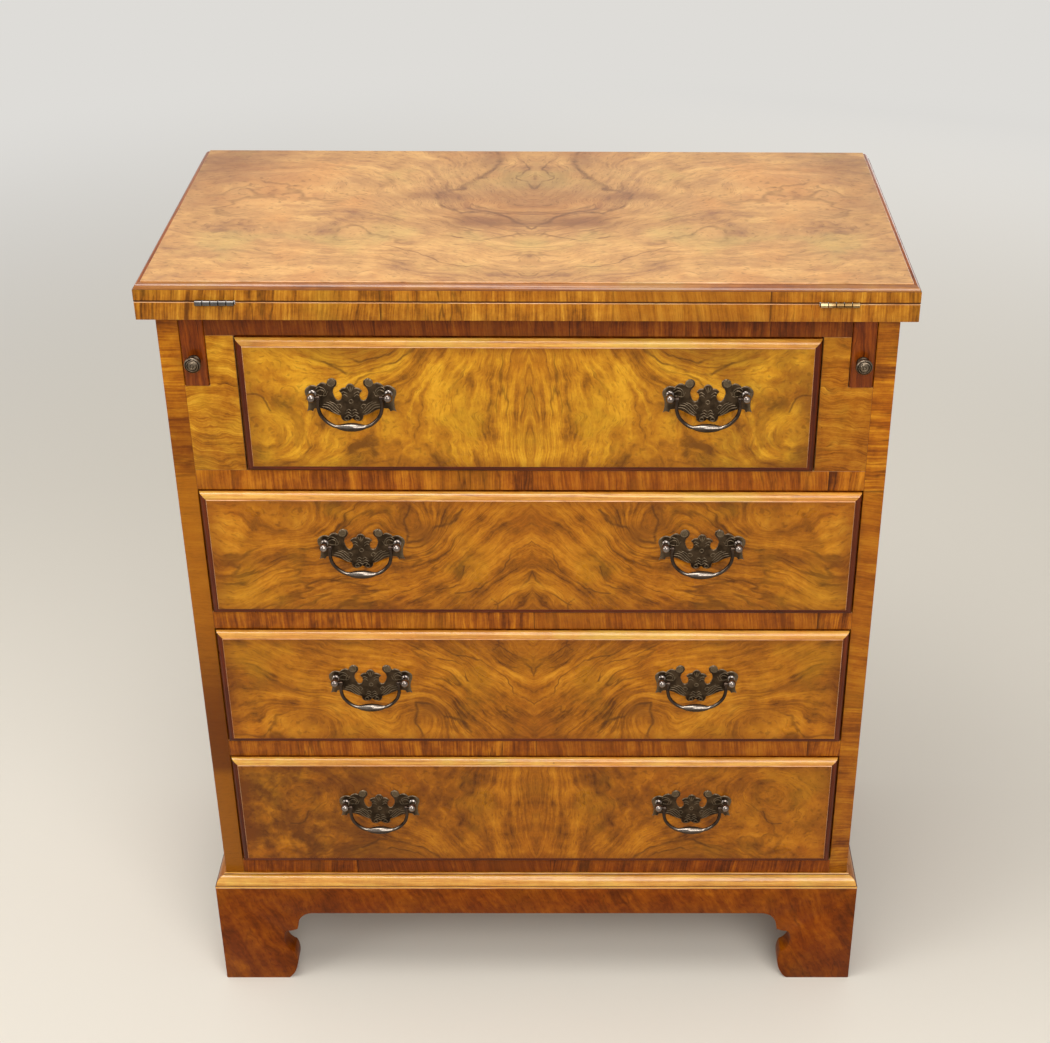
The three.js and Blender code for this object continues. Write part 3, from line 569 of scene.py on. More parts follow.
def finished(work, name, finishes, pick=None):
    """An object from worked solids, whose finish is picked by a face's normal and middle"""
    if pick:
        work.normal_update()
        for face in work.faces:
            face.material_index = pick(face.normal, face.calc_center_median())
    mesh = bpy.data.meshes.new(name)
    work.to_mesh(mesh)
    work.free()
    for finish in finishes:
        mesh.materials.append(finish)
    return smoothed(shown(name, mesh))


def together(first, *others):
    """One worked solid out of several"""
    for other in others:
        spare = bpy.data.meshes.new("spare")
        other.to_mesh(spare)
        other.free()
        first.from_mesh(spare)
        bpy.data.meshes.remove(spare)
    return first


BASE_TONES = wood_tones((160, 90, 9), (133, 65, 2), (106, 45, 1), (68, 27, 0))
# The solid walnut mouldings come as lit and shaded copies. The light MOULD_TONES of the mouldings
# that face up are a painted highlight. The dark LOW_MOULD_TONES of the upright and lower mouldings
# are a painted shade, and the SIDE_MOULD_TONES of the mouldings along the sides a lighter painted
# shade.
MOULD_TONES = wood_tones((236, 184, 92), (220, 163, 70), (193, 128, 44), (134, 76, 20))
LOW_MOULD_TONES = wood_tones((118, 50, 12), (94, 36, 8), (70, 24, 5), (42, 13, 3))
SIDE_MOULD_TONES = wood_tones((204, 138, 58), (182, 114, 42), (148, 84, 24), (98, 50, 11))
BASE_FIGURE = {
    "roughness": 0.42, "coat": 0.0, "slant": 0.5,
    "Bands": 3.0, "Waver": 0.9, "Contrast": 0.6, "Mottle": 1.2,
}
FINE = {"slant": 0.01, "Bands": 30.0, "Waver": 0.08, "Contrast": 0.7, "Mottle": 0.5}
base_across = straight_wood("base_veneer", "XZY", BASE_TONES, Seed=3.0, **BASE_FIGURE)
base_along_y = straight_wood("base_veneer_side", "YZX", BASE_TONES, Seed=8.0, **BASE_FIGURE)
mould_along_x = straight_wood(
    "moulding_long", "ZXY", MOULD_TONES, roughness=0.24, coat=1.0, Seed=2.0, **FINE
)
mould_along_y = straight_wood(
    "moulding_deep", "ZYX", SIDE_MOULD_TONES, roughness=0.3, coat=0.2, Seed=5.0, **FINE
)
# Pale arrises and fillets: wear on the edges together with a painted highlight along them.
WORN_AND_HIGHLIT_TONES = wood_tones((232, 190, 150), (214, 164, 118), (186, 130, 80), (140, 84, 40))
worn_and_highlit_arris = straight_wood("worn_and_highlit_arris", "ZXY", WORN_AND_HIGHLIT_TONES, coat=0.3, Seed=6.0)
# The quirks and small ledges of the mouldings are painted dark, a painted shade, flecked with a
# dustier brown.
QUIRK_SHADE = shade(52, 22, 6)
QUIRK_DUST = shade(104, 54, 22)
quirk_finish, tree, shader = new_finish("moulding_quirk", 0.5)
dust = noise(tree, place_from(tree, "XYZ")[2], 6.0, detail=3.0)
tree.links.new(mixed(tree, dust, QUIRK_SHADE, QUIRK_DUST), shader.inputs["Base Color"])

base_low, base_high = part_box("base_front")
base_top = base_high.z - MOULD_HEIGHT
case_front = base_low.y + BASE_PROUD


def base_finish(normal, middle):
    """Board, moulding, pale arrises of wear and painted highlight, or quirks in painted shade, by a
    face's height above the board
    """
    height = middle.z - base_top
    if height < -ARRIS / 2:
        return 0
    if abs(height - MOULD_LOW_FILLET) < NEAR_FACE and normal.z > FACING:
        return 3
    if MOULD_HEIGHT - MOULD_TOP_FILLET < height < MOULD_HEIGHT - TOP_WEAR_AND_HIGHLIGHT:
        return 3
    if height < LOW_WEAR_AND_HIGHLIGHT or MOULD_HEIGHT - TOP_WEAR_AND_HIGHLIGHT < height < MOULD_HEIGHT - NEAR_FACE:
        return 2
    return 1


def front_board(depth):
    """Places on the base front at a depth, drawn in along the mitres"""
    low, high = base_low.x + depth, base_high.x - depth
    return lambda a, b: (min(max(a, low), high), base_low.y + depth, b)


board = carried(
    bracket_outline(base_low.x, base_high.x, base_top), front_board(0.0), front_board(BASE_THICK)
)
ease(board, ARRIS)
moulding = carried(
    mould_section(),
    lambda a, b: (base_low.x + BASE_PROUD - a, case_front - a, base_top + b),
    lambda a, b: (base_high.x - BASE_PROUD + a, case_front - a, base_top + b),
)
piece = finished(
    together(board, moulding), "base_front_board",
    [base_across, mould_along_x, worn_and_highlit_arris, quirk_finish], base_finish,
)
fit(piece, "case", "base_front")

# Base sides. The same board and moulding run back along each side, from the mitre at the
# front corner to the back edge.
SIDES = {"left": -1, "right": 1}


def side_solids(side, low, high):
    """The board and the moulding of one base side"""
    outer = low.x if side < 0 else high.x
    case_side = outer - side * BASE_PROUD

    def side_board(depth):
        """Places on the base side at a depth, drawn back along the mitre"""
        return lambda a, b: (outer - side * depth, max(a, low.y + depth), b)

    board = carried(
        bracket_outline(low.y, high.y, base_top), side_board(0.0), side_board(BASE_THICK)
    )
    ease(board, ARRIS)
    moulding = carried(
        mould_section(),
        lambda a, b: (case_side + side * a, low.y + BASE_PROUD - a, base_top + b),
        lambda a, b: (case_side + side * a, high.y, base_top + b),
    )
    return together(board, moulding)


for name, side in SIDES.items():
    node = "base_side_" + name
    piece = finished(
        side_solids(side, *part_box(node)), node + "_board",
        [base_along_y, mould_along_y, mould_along_y, quirk_finish], base_finish,
    )
    fit(piece, "case", node)

# Base back. A plain board of secondary wood, glued between the base sides. It is sawn out
# below, so that a foot with a sloping edge is left at each end.
PLAIN_TONES = wood_tones((186, 142, 92), (170, 124, 76), (150, 104, 60), (118, 78, 42))
lining_across = straight_wood(
    "lining_across", "ZXY", PLAIN_TONES, roughness=0.7, coat=0.0, Bands=6.0, Seed=4.0
)
MERGE_GAP = 0.001 * MM
FLAT_ANGLE = math.radians(1)


def dressed(node, name, body, finishes, pick=None, width=ARRIS):
    """A copy of a solid, merged and with its arrises eased, that is fitted in its place"""
    work = bmesh.new()
    work.from_mesh(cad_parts[node].data)
    bmesh.ops.remove_doubles(work, verts=work.verts, dist=MERGE_GAP)
    bmesh.ops.dissolve_limit(work, angle_limit=FLAT_ANGLE, verts=work.verts, edges=work.edges)
    ease(work, width)
    fit(finished(work, name, finishes, pick), body, node)


dressed("base_back", "base_back_board", "case", [lining_across])

# Case sides. Walnut-veneered boards with upright grain outside. Their front edges are
# cross-banded, and their backs are rebated for the back panel.
SIDE_TONES = wood_tones((188, 120, 30), (164, 98, 20), (136, 74, 12), (90, 44, 6))
BAND_TONES = wood_tones((194, 128, 26), (172, 104, 14), (144, 78, 8), (100, 48, 4))
LOW_BAND_SHADE = shade(88, 38, 1)
side_veneer = straight_wood(
    "case_side_veneer", "YZX", SIDE_TONES, slant=0.12, Bands=3.0, Seed=6.0, Waver=0.8,
    Contrast=0.58, Mottle=0.36,
)
# Painted shade on the edge bands. Down the left edge it deepens in steps, with a lighter tone laid
# between them, and the right edge darkens a little towards the bottom.
LEFT_SHADES = [
    (LOW_BAND_SHADE, 6.8, 6.2, 0.42), (BAND_TONES[1], 5.9, 5.7, 0.5), (LOW_BAND_SHADE, 4.7, 3.1, 0.85),
    (BAND_TONES[1], 2.65, 2.5, 0.42),
]
RIGHT_SHADES = [(LOW_BAND_SHADE, 3.6, 1.2, 0.2)]
edge_bandings = {
    "side_panel_left": banded_wood(
        "left_edge_banding", "ZXY", BAND_TONES, 1.7, 2.0, shades=LEFT_SHADES
    ),
    "side_panel_right": banded_wood(
        "right_edge_banding", "ZXY", BAND_TONES, 1.7, 6.0, shades=RIGHT_SHADES
    ),
}


def faces_front(normal, middle):
    """The second finish for a face that looks to the front, and else the first"""
    return int(normal.y < -FACING)


for node, edge_banding in edge_bandings.items():
    finishes = [side_veneer, edge_banding]
    dressed(node, node + "_board", "case", finishes, faces_front)

# Back panel. One plain board of secondary wood, left unpolished. It is let into the rebates
# at the back of the case sides.
BACK_TONES = wood_tones((184, 140, 92), (168, 124, 78), (148, 104, 62), (112, 76, 44))
back_wood = straight_wood(
    "back_wood", "XZY", BACK_TONES, roughness=0.8, coat=0.0, Bands=4.0, Seed=7.0, Contrast=0.55
)
dressed("back_panel", "back_board", "case", [back_wood])

# Case bottom and dividers. A thin panel of secondary wood behind a front rail that is
# cross-banded with short lengths of walnut. They are housed in the sides.
# The rails are painted darker lower down the case, a painted shade. The rail banding deepens below
# a height, and the case bottom's rail has darker tones of its own.
RAIL_TONES = wood_tones((194, 120, 24), (168, 95, 14), (134, 67, 7), (88, 40, 4))
LOW_RAIL_TONES = wood_tones((156, 84, 6), (132, 62, 2), (106, 46, 1), (68, 28, 0))
rail_banding = banded_wood(
    "rail_banding", "XZY", RAIL_TONES, 1.9, 9.0, shades=[(LOW_BAND_SHADE, 3.2, 1.6, 0.8)]
)
low_rail_banding = banded_wood("low_rail_banding", "XZY", LOW_RAIL_TONES, 2.3, 4.0)
for node in ("case_bottom", "divider_1", "divider_2", "divider_3"):
    banding = low_rail_banding if node == "case_bottom" else rail_banding
    dressed(node, node + "_board", "case", [lining_across, banding], faces_front)

# Top rail and stiles. The rail between the lopers and the upright stiles beside the top
# drawer, veneered like the rest of the front.
# The top rail's tones are darker than the other rails', a painted shade of the top's overhang.
TOP_RAIL_TONES = wood_tones((150, 84, 16), (128, 64, 8), (104, 46, 5), (70, 30, 3))
STILE_TONES = {
    "stile_left": wood_tones((214, 160, 44), (192, 132, 28), (160, 96, 12), (96, 50, 4)),
    "stile_right": wood_tones((198, 138, 34), (172, 108, 20), (144, 80, 8), (88, 44, 4)),
}
front_veneers = {
    "top_rail": banded_wood("top_rail_banding", "XZY", TOP_RAIL_TONES, 1.6, 5.0),
}
for node, tones in STILE_TONES.items():
    front_veneers[node] = straight_wood(
        node + "_veneer", "ZXY", tones, slant=0.12, Bands=12.0, Seed=12.0, Waver=1.0,
        Contrast=0.75, Mottle=1.1,
    )
for node, veneer in front_veneers.items():
    dressed(node, node + "_board", "case", [lining_across, veneer], faces_front)

# Loper guides. Secondary-wood walls beside the top drawer, each with the runner that its
# loper slides on and the peg that stops it.
lining_along = straight_wood(
    "lining_along", "ZYX", PLAIN_TONES, roughness=0.7, coat=0.0, Bands=6.0, Seed=11.0
)
for name in SIDES:
    node = "loper_guide_" + name
    dressed(node, node + "_wood", "case", [lining_along])

# Lopers. Mahogany bars that slide forward to carry the opened leaf. The front corners are
# rounded, and a groove along the inner face meets the stop peg.
LOPER_ROUND = 3 * MM
LOPER_PROUD = 1.2 * MM
PEG_FIRST = 38.7 * MM
PEG_RISE = 32.85 * MM
GROOVE_DEPTH = 5.7 * MM
GROOVE_HALF = 3.3 * MM
GROOVE_END = 26.5 * MM
RUN_GAP = 0.3 * MM
LOPER_TONES = wood_tones((166, 88, 12), (136, 64, 6), (102, 42, 3), (60, 22, 2))
loper_wood = straight_wood(
    "loper_mahogany", "ZYX", LOPER_TONES, roughness=0.4, coat=0.1, Bands=7.0, Seed=13.0
)
loper_end = straight_wood(
    "loper_front", "XZY", LOPER_TONES, roughness=0.36, coat=0.15, Bands=9.0, Seed=15.0
)


def at_x(x):
    """Places that lie back and up by two distances, all as far to the right"""
    return lambda a, b: (x, a, b)


def at_z(z):
    """Places that lie to the right and back by two distances, all as high"""
    return lambda a, b: (a, b, z)


def block(low, high):
    """A worked solid that fills the space between two corners"""
    corners = [(low[0], low[1]), (high[0], low[1]), (high[0], high[1]), (low[0], high[1])]
    return carried(corners, at_z(low[2]), at_z(high[2]))


def applied(piece):
    """Keeps what a piece's modifiers make of it as its plain mesh"""
    graph = bpy.context.evaluated_depsgraph_get()
    mesh = bpy.data.meshes.new_from_object(piece.evaluated_get(graph))
    piece.modifiers.clear()
    piece.data = mesh
    return piece


def carved(piece, cutters):
    """Cuts other pieces out of a piece and removes them"""
    for cutter in cutters:
        cut = piece.modifiers.new(cutter.name, "BOOLEAN")
        cut.object = cutter
        cut.solver = "EXACT"
        cut.operation = "DIFFERENCE"
    piece = applied(piece)
    for cutter in cutters:
        bpy.data.objects.remove(cutter)
    return smoothed(piece)


slot_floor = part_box("loper_left")[0].z - RUN_GAP
loper_front = case_front - LOPER_PROUD
for name, side in SIDES.items():
    node = "loper_" + name
    low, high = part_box(node)
    corner_left = [
        (low.x + LOPER_ROUND * (1 - math.cos(a)), loper_front + LOPER_ROUND * (1 - math.sin(a)))
        for a in QUARTER
    ]
    corner_right = [(low.x + high.x - x, y) for x, y in reversed(corner_left)]
    outline = [(low.x, high.y), *corner_left, *corner_right, (high.x, high.y)]
    bar = carried(outline, at_z(low.z), at_z(high.z))
    ease(bar, ARRIS)
    bar = finished(bar, node + "_bar", [loper_wood, loper_end], faces_front)
    inner = high.x if side < 0 else low.x
    groove = block(
        (inner - GROOVE_DEPTH, case_front + PEG_FIRST, slot_floor + PEG_RISE - GROOVE_HALF),
        (inner + GROOVE_DEPTH, high.y - GROOVE_END, slot_floor + PEG_RISE + GROOVE_HALF),
    )
    bar = carved(bar, [finished(groove, "peg_groove", [])])
    fit(bar, node, node)

# Fixed top. A walnut-veneered board with cross-banded edges, which is the lower half of the
# folded top. Its front edge is let in for the hinges.
SLOPING = FACING / 3
EDGE_TONES = wood_tones((198, 138, 40), (176, 114, 27), (150, 89, 16), (100, 55, 8))
INNER_TONES = wood_tones((206, 146, 66), (184, 120, 44), (154, 92, 30), (110, 60, 18))
inner_veneer = straight_wood(
    "inner_top_veneer", "YXZ", INNER_TONES, slant=0.2, Bands=2.4, Seed=16.0, Waver=1.0
)
front_edge_band = banded_wood("front_edge_band", "XZY", EDGE_TONES, 1.9, 21.0)
side_edge_band = banded_wood("side_edge_band", "YZX", EDGE_TONES, 1.9, 24.0)


def faces_edges(normal, middle):
    """Finish numbers of the side edges, the arris at the front, the front edge and the rest"""
    if abs(normal.x) > FACING:
        return 2
    if normal.y < -SLOPING and normal.z > SLOPING:
        return 3
    return int(normal.y < -FACING)


# The arris along the front is pale, wear together with a painted highlight.
top_finishes = [inner_veneer, front_edge_band, side_edge_band, worn_and_highlit_arris]
dressed("fixed_top", "fixed_top_board", "case", top_finishes, faces_edges)

# Hinges. Five knuckles on a pin stand proud of the front edge. Each half has a plate let into
# its board and held by three countersunk screws with slotted heads.
KNUCKLES = 5
BARREL_RADIUS = 2.5 * MM
PIN_RADIUS = 1.15 * MM
HINGE_GAP = 0.8 * MM
PLATE_LIFT = 0.15 * MM
PLATE_START = 0.9 * BARREL_RADIUS
HINGE_PLATE_THICK = 1.2 * MM
SCREW_RADIUS = 2.1 * MM
SCREW_THICK = 0.5 * MM
SCREW_RISE = 0.08 * MM
SCREW_SLOT = 0.35 * MM
SCREW_TAPER = 0.92
SCREW_STEPS = 12
SCREW_SEED = 3
SCREWS = 3
BARREL_STEPS = 32


def new_growth(name, inputs):
    """An empty tree of geometry nodes with named inputs, and its end sockets"""
    tree = bpy.data.node_groups.new(name, "GeometryNodeTree")
    tree.interface.new_socket("Geometry", in_out="INPUT", socket_type="NodeSocketGeometry")
    for label, kind in inputs.items():
        tree.interface.new_socket(label, in_out="INPUT", socket_type="NodeSocket" + kind)
    tree.interface.new_socket("Geometry", in_out="OUTPUT", socket_type="NodeSocketGeometry")
    given = tree.nodes.new("NodeGroupInput").outputs
    return tree, given, tree.nodes.new("NodeGroupOutput").inputs


def grown(piece, tree, values):
    """Runs geometry nodes on a piece and keeps the result as its plain mesh"""
    modifier = piece.modifiers.new(tree.name, "NODES")
    modifier.node_group = tree
    for item in tree.interface.items_tree:
        if item.in_out == "INPUT" and item.name in values:
            modifier[item.identifier] = values[item.name]
    return applied(piece)


def seed_piece(name, points=(), edges=()):
    """An object that geometry nodes start from"""
    mesh = bpy.data.meshes.new(name)
    mesh.from_pydata(list(points), list(edges), [])
    return shown(name, mesh)


def end_growth(tree, geometry, given, result):
    """Makes what geometry nodes have grown real and gives it its finish"""
    real = add(tree, "GeometryNodeRealizeInstances", {"Geometry": geometry}).outputs[0]
    inputs = {"Geometry": real, "Material": given["Finish"]}
    ready = add(tree, "GeometryNodeSetMaterial", inputs).outputs[0]
    tree.links.new(ready, result["Geometry"])


def grow_row(tree, given, result, instance, **turning):
    """Grows instances on a line of points, from the first on at an even pitch"""
    inputs = {"Count": given["Count"], "Start Location": given["First"], "Offset": given["Pitch"]}
    points = add(tree, "GeometryNodeMeshLine", inputs).outputs[0]
    inputs = {"Points": points, "Instance": instance, **turning}
    row = add(tree, "GeometryNodeInstanceOnPoints", inputs).outputs[0]
    end_growth(tree, row, given, result)


knuckle_row, given, result = new_growth("knuckle_row", {
    "First": "Vector", "Pitch": "Vector", "Count": "Int", "Radius": "Float",
    "Length": "Float", "Finish": "Material",
})
barrel = add(knuckle_row, "GeometryNodeMeshCylinder", {
    "Vertices": BARREL_STEPS, "Radius": given["Radius"], "Depth": given["Length"],
}).outputs[0]
lying = {"Geometry": barrel, "Rotation": (0, math.pi / 2, 0)}
barrel = add(knuckle_row, "GeometryNodeTransform", lying).outputs[0]
grow_row(knuckle_row, given, result, barrel)

screw_row, given, result = new_growth("screw_row", {
    "Head": "Object", "First": "Vector", "Pitch": "Vector", "Count": "Int", "Seed": "Int",
    "Finish": "Material",
})
head = add(screw_row, "GeometryNodeObjectInfo", {"Object": given["Head"]}).outputs["Geometry"]
least_and_most = {0: (0, 0, 0), 1: (0, 0, math.pi), "Seed": given["Seed"]}
turn = add(
    screw_row, "FunctionNodeRandomValue", least_and_most, data_type="FLOAT_VECTOR"
).outputs[0]
turn = add(screw_row, "FunctionNodeEulerToRotation", {0: turn}).outputs[0]
grow_row(screw_row, given, result, head, Rotation=turn)


def metal(name, light, dark, roughness):
    """A metal whose polish and colour are uneven, with dark spots in its hollows"""
    finish, tree, shader = new_finish(name, roughness, metallic=1.0)
    place = place_from(tree, "XZY")[2]
    cloud = noise(tree, place, 2.5, detail=4.0, roughness=0.6)
    fine = noise(tree, place, 40.0, detail=2.0)
    colour = mixed(tree, rising(tree, cloud, 0.35, 0.68), dark, light)
    tree.links.new(colour, shader.inputs["Base Color"])
    roughened(tree, shader, fine, spread=0.24)
    bumped(tree, shader, fine, strength=0.05, distance=0.1 * MM)
    return finish


def circle(middle, radius, sides):
    """Points at even steps round a circle"""
    angles = [2 * math.pi * i / sides for i in range(sides)]
    return [(middle[0] + radius * math.cos(a), middle[1] + radius * math.sin(a)) for a in angles]


def screw_head():
    """A slotted head, cut as two halves on a thin disc"""
    slot_angle = math.asin(SCREW_SLOT / SCREW_RADIUS)
    angles = arc(slot_angle, math.pi - slot_angle, SCREW_STEPS)
    middle = at_z(-SCREW_THICK / 2)
    halves = [
        carried(
            [(SCREW_RADIUS * math.cos(a), side * SCREW_RADIUS * math.sin(a)) for a in angles],
            middle, lambda a, b: (SCREW_TAPER * a, SCREW_TAPER * b, 0.0),
        )
        for side in (1, -1)
    ]
    rim = circle((0.0, 0.0), SCREW_RADIUS, 2 * SCREW_STEPS)
    disc = carried(rim, at_z(-SCREW_THICK), middle)
    return finished(together(*halves, disc), "screw_head", [])


STEEL = metal("hinge_steel", shade(104, 100, 96), shade(50, 46, 43), 0.16)
BRASS = metal("hinge_brass", shade(196, 172, 128), shade(118, 92, 56), 0.26)
PIN_IRON = metal("pin_iron", shade(30, 26, 23), shade(16, 13, 11), 0.5)
screw_form = screw_head()


def merged(target, extra):
    """Adds one finished piece's mesh to another's and removes the first"""
    work = bmesh.new()
    work.from_mesh(target.data)
    work.from_mesh(extra.data)
    work.to_mesh(target.data)
    work.free()
    bpy.data.objects.remove(extra)
    return target


def worked(target, extra):
    """One mesh of two pieces with each piece's own finish, kept as the first piece"""
    offset = len(target.data.materials)
    for finish in extra.data.materials:
        target.data.materials.append(finish)
    for face in extra.data.polygons:
        face.material_index += offset
    return merged(target, extra)


# Each half's name, body and side of the joint, and the knuckles that it owns
HINGE_HALVES = [
    ("fixed", "case", -1, range(0, KNUCKLES, 2)), ("moving", "leaf", 1, range(1, KNUCKLES, 2)),
]
hinge_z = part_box("fixed_top")[1].z + PLATE_LIFT


def hinge_half(node, low, high, side, own, finish):
    """Knuckles on arms, the plate and its screws, within the box of the hinge's fixed half"""
    axis_y = low.y + BARREL_RADIUS
    pitch = (high.x - low.x) / KNUCKLES
    piece = grown(seed_piece(node + "_leaf"), knuckle_row, {
        "First": (low.x + pitch * (own[0] + 0.5), axis_y, hinge_z),
        "Pitch": (2 * pitch, 0.0, 0.0), "Count": len(own), "Radius": BARREL_RADIUS,
        "Length": pitch - HINGE_GAP, "Finish": finish,
    })
    near = hinge_z + side * PLATE_LIFT
    far = near + side * HINGE_PLATE_THICK
    under, over = min(near, far), max(near, far)
    plate = block((low.x, axis_y + PLATE_START, under), (high.x, high.y, over))
    arms = [
        block(
            (low.x + pitch * i + HINGE_GAP / 2, axis_y, under),
            (low.x + pitch * (i + 1) - HINGE_GAP / 2, axis_y + BARREL_RADIUS, over),
        )
        for i in own
    ]
    piece = merged(piece, finished(together(plate, *arms), node + "_plate", [finish]))
    screw_pitch = (high.x - low.x) / SCREWS
    screws = grown(seed_piece(node + "_screws"), screw_row, {
        "Head": screw_form, "First": (0.0, 0.0, 0.0), "Count": SCREWS,
        "Pitch": (screw_pitch, 0.0, 0.0), "Seed": SCREW_SEED + side, "Finish": finish,
    })
    screw_y = (axis_y + BARREL_RADIUS + high.y) / 2
    place = Matrix.Translation((low.x + screw_pitch / 2, screw_y, near - side * SCREW_RISE))
    if side > 0:
        place = place @ Matrix.Diagonal((1, -1, -1, 1))
    screws.data.transform(place)
    return merged(piece, screws)


for name, finish in (("left", STEEL), ("right", BRASS)):
    low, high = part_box("hinge_fixed_" + name)
    for half, body, side, own in HINGE_HALVES:
        node = f"hinge_{half}_{name}"
        piece = hinge_half(node, low, high, side, own, finish)
        if half == "fixed":
            round_section = circle((low.y + BARREL_RADIUS, hinge_z), PIN_RADIUS, BARREL_STEPS)
            pin = carried(round_section, at_x(low.x), at_x(high.x))
            piece = worked(piece, finished(pin, node + "_pin", [PIN_IRON]))
        fit(smoothed(piece), body, node)
bpy.data.objects.remove(screw_form)

# Fold-over leaf. Book-matched burr walnut within a solid ovolo moulding on its front and side
# edges, over a cross-banded edge. The underside is let in for the hinges.
LEAF_ARRIS = 0.4 * MM
LEAF_MOULD_WIDTH = 6 * MM
LEAF_MOULD_DROP = 5.4 * MM
LEAF_MOULD_FILLET = 1 * MM
LEAF_MOULD_QUIRK = 0.8 * MM
ARRIS_BAND_WIDTH = 0.35 * MM
MORTISE_GAP = 0.2 * MM
MORTISE_DEPTH = 1.55 * MM

# The top's tones are paled and greyed beyond the burr's own colour, a painted sheen of the room's
# reflection in its polish.
TOP_TONES = wood_tones((217, 171, 110), (201, 153, 96), (177, 131, 84), (133, 94, 69))
TOP_SHADOW = shade(122, 80, 58)
TOP_LINE = shade(88, 56, 44)
CORNER_DARK = 0.32
CORNER_ACROSS = (-1.6, -2.8)
CORNER_UP = (0.0, 1.2)
JOINT_SHADE = shade(46, 22, 4)
JOINT_SHADE_AMOUNT = 0.9
JOINT_SHADE_RISE = 0.018
KNOT_DEPTH = 20.0
# The side mouldings take darker tones than the front moulding, a painted shade.
LEAF_MOULD_TONES = wood_tones((184, 124, 54), (160, 100, 36), (128, 70, 20), (80, 38, 10))
LEAF_SIDE_TONES = wood_tones((176, 102, 36), (150, 80, 24), (116, 54, 12), (72, 30, 6))
leaf_mould = straight_wood(
    "leaf_moulding", "ZXY", LEAF_MOULD_TONES, roughness=0.2, coat=1.0, Seed=4.0, **FINE
)
leaf_side_mould = straight_wood(
    "leaf_moulding_side", "ZYX", LEAF_SIDE_TONES, roughness=0.3, coat=0.2, Seed=5.0, **FINE
)

# A round swelling in a field of growth rings, as a knot or a curl makes it
knot, given, result = new_group("knot", ["Place", "Centre", "Spread"], {"Rise": 1.0}, ["Lift"])
away = on_places(knot, "SUBTRACT", given["Place"], given["Centre"])
away = on_places(knot, "DIVIDE", away, given["Spread"])
square = on_places(knot, "DOT_PRODUCT", away, away, output="Value")
lift = calc(knot, "EXPONENT", calc(knot, "MULTIPLY", square, -1.0))
knot.links.new(calc(knot, "MULTIPLY", lift, given["Rise"]), result["Lift"])

# A dark line from one place on the veneer to the next, soft at its sides
streak_line, given, result = new_group(
    "streak_line", ["Place", "From", "To"], {"Width": 0.02}, ["Mask"]
)
run = on_places(streak_line, "SUBTRACT", given["To"], given["From"])
way = on_places(streak_line, "SUBTRACT", given["Place"], given["From"])
way_along = on_places(streak_line, "DOT_PRODUCT", way, run, output="Value")
whole_run = on_places(streak_line, "DOT_PRODUCT", run, run, output="Value")
part = calc(streak_line, "DIVIDE", way_along, whole_run, use_clamp=True)
foot = on_places(streak_line, "MULTIPLY", run, part)
gap = on_places(streak_line, "DISTANCE", way, foot, output="Value")
share = calc(streak_line, "DIVIDE", gap, given["Width"])
streak_line.links.new(rising(streak_line, share, 0.0, 1.0, 1.0, 0.0), result["Mask"])


def gathered(tree, operation, values):
    """Many values put together one after the other"""
    total = values[0]
    for value in values[1:]:
        total = calc(tree, operation, total, value)
    return total


def knots(tree, place, rows):
    """The sum of swellings, each with its middle, spread and rise"""
    lifts = []
    for x, y, wide, high, rise in rows:
        values = {"Centre": (x, y, 0.0), "Spread": (wide, high, KNOT_DEPTH), "Rise": rise}
        lifts.append(grouped(tree, knot, Place=place, **values)["Lift"])
    return gathered(tree, "ADD", lifts)


def lines(tree, place, routes):
    """A mask of dark lines along routes of places, each with its width"""
    masks = []
    for width, route in routes:
        for start, end in zip(route, route[1:]):
            values = {"From": (*start, 0.0), "To": (*end, 0.0), "Width": width}
            masks.append(grouped(tree, streak_line, Place=place, **values)["Mask"])
    strength = rising(tree, noise(tree, place, 5.0, detail=3.0), 0.34, 0.6, 0.25, 1.0)
    return calc(tree, "MULTIPLY", gathered(tree, "MAXIMUM", masks), strength)


def frayed(tree, across, up, amount):
    """Places shifted a little by noise, so that what is drawn on them wavers"""
    flat = vector(tree, across, up, 0.0)
    coarse = noise(tree, flat, 3.6, detail=3.0, roughness=0.5)
    other = noise(tree, vector(tree, up, across, 3.0), 3.6, detail=3.0, roughness=0.5)
    shifted = [
        calc(tree, "MULTIPLY_ADD", value, amount, calc(tree, "ADD", side, -amount / 2))
        for value, side in ((coarse, across), (other, up))
    ]
    return vector(tree, *shifted, 0.0)


def drawn_figure(tree, across, up, place, figure):
    """The field of a figure's growth rings, and the masks of its shadows and dark lines"""
    spread = calc(tree, "TANH", calc(tree, "MULTIPLY", across, figure["ease"]))
    spread = calc(tree, "MULTIPLY", spread, figure["out"] / figure["ease"])
    field = calc(tree, "MULTIPLY_ADD", up, figure["up"], spread)
    field = calc(tree, "ADD", field, knots(tree, place, figure["knots"]))
    drawn = frayed(tree, across, up, figure["fray"])
    shadow = knots(tree, drawn, figure["shadows"])
    shadow = calc(tree, "MULTIPLY", shadow, figure["shadow"], use_clamp=True)
    line = calc(tree, "MULTIPLY", lines(tree, drawn, figure["lines"]), figure["line"])
    return field, shadow, line


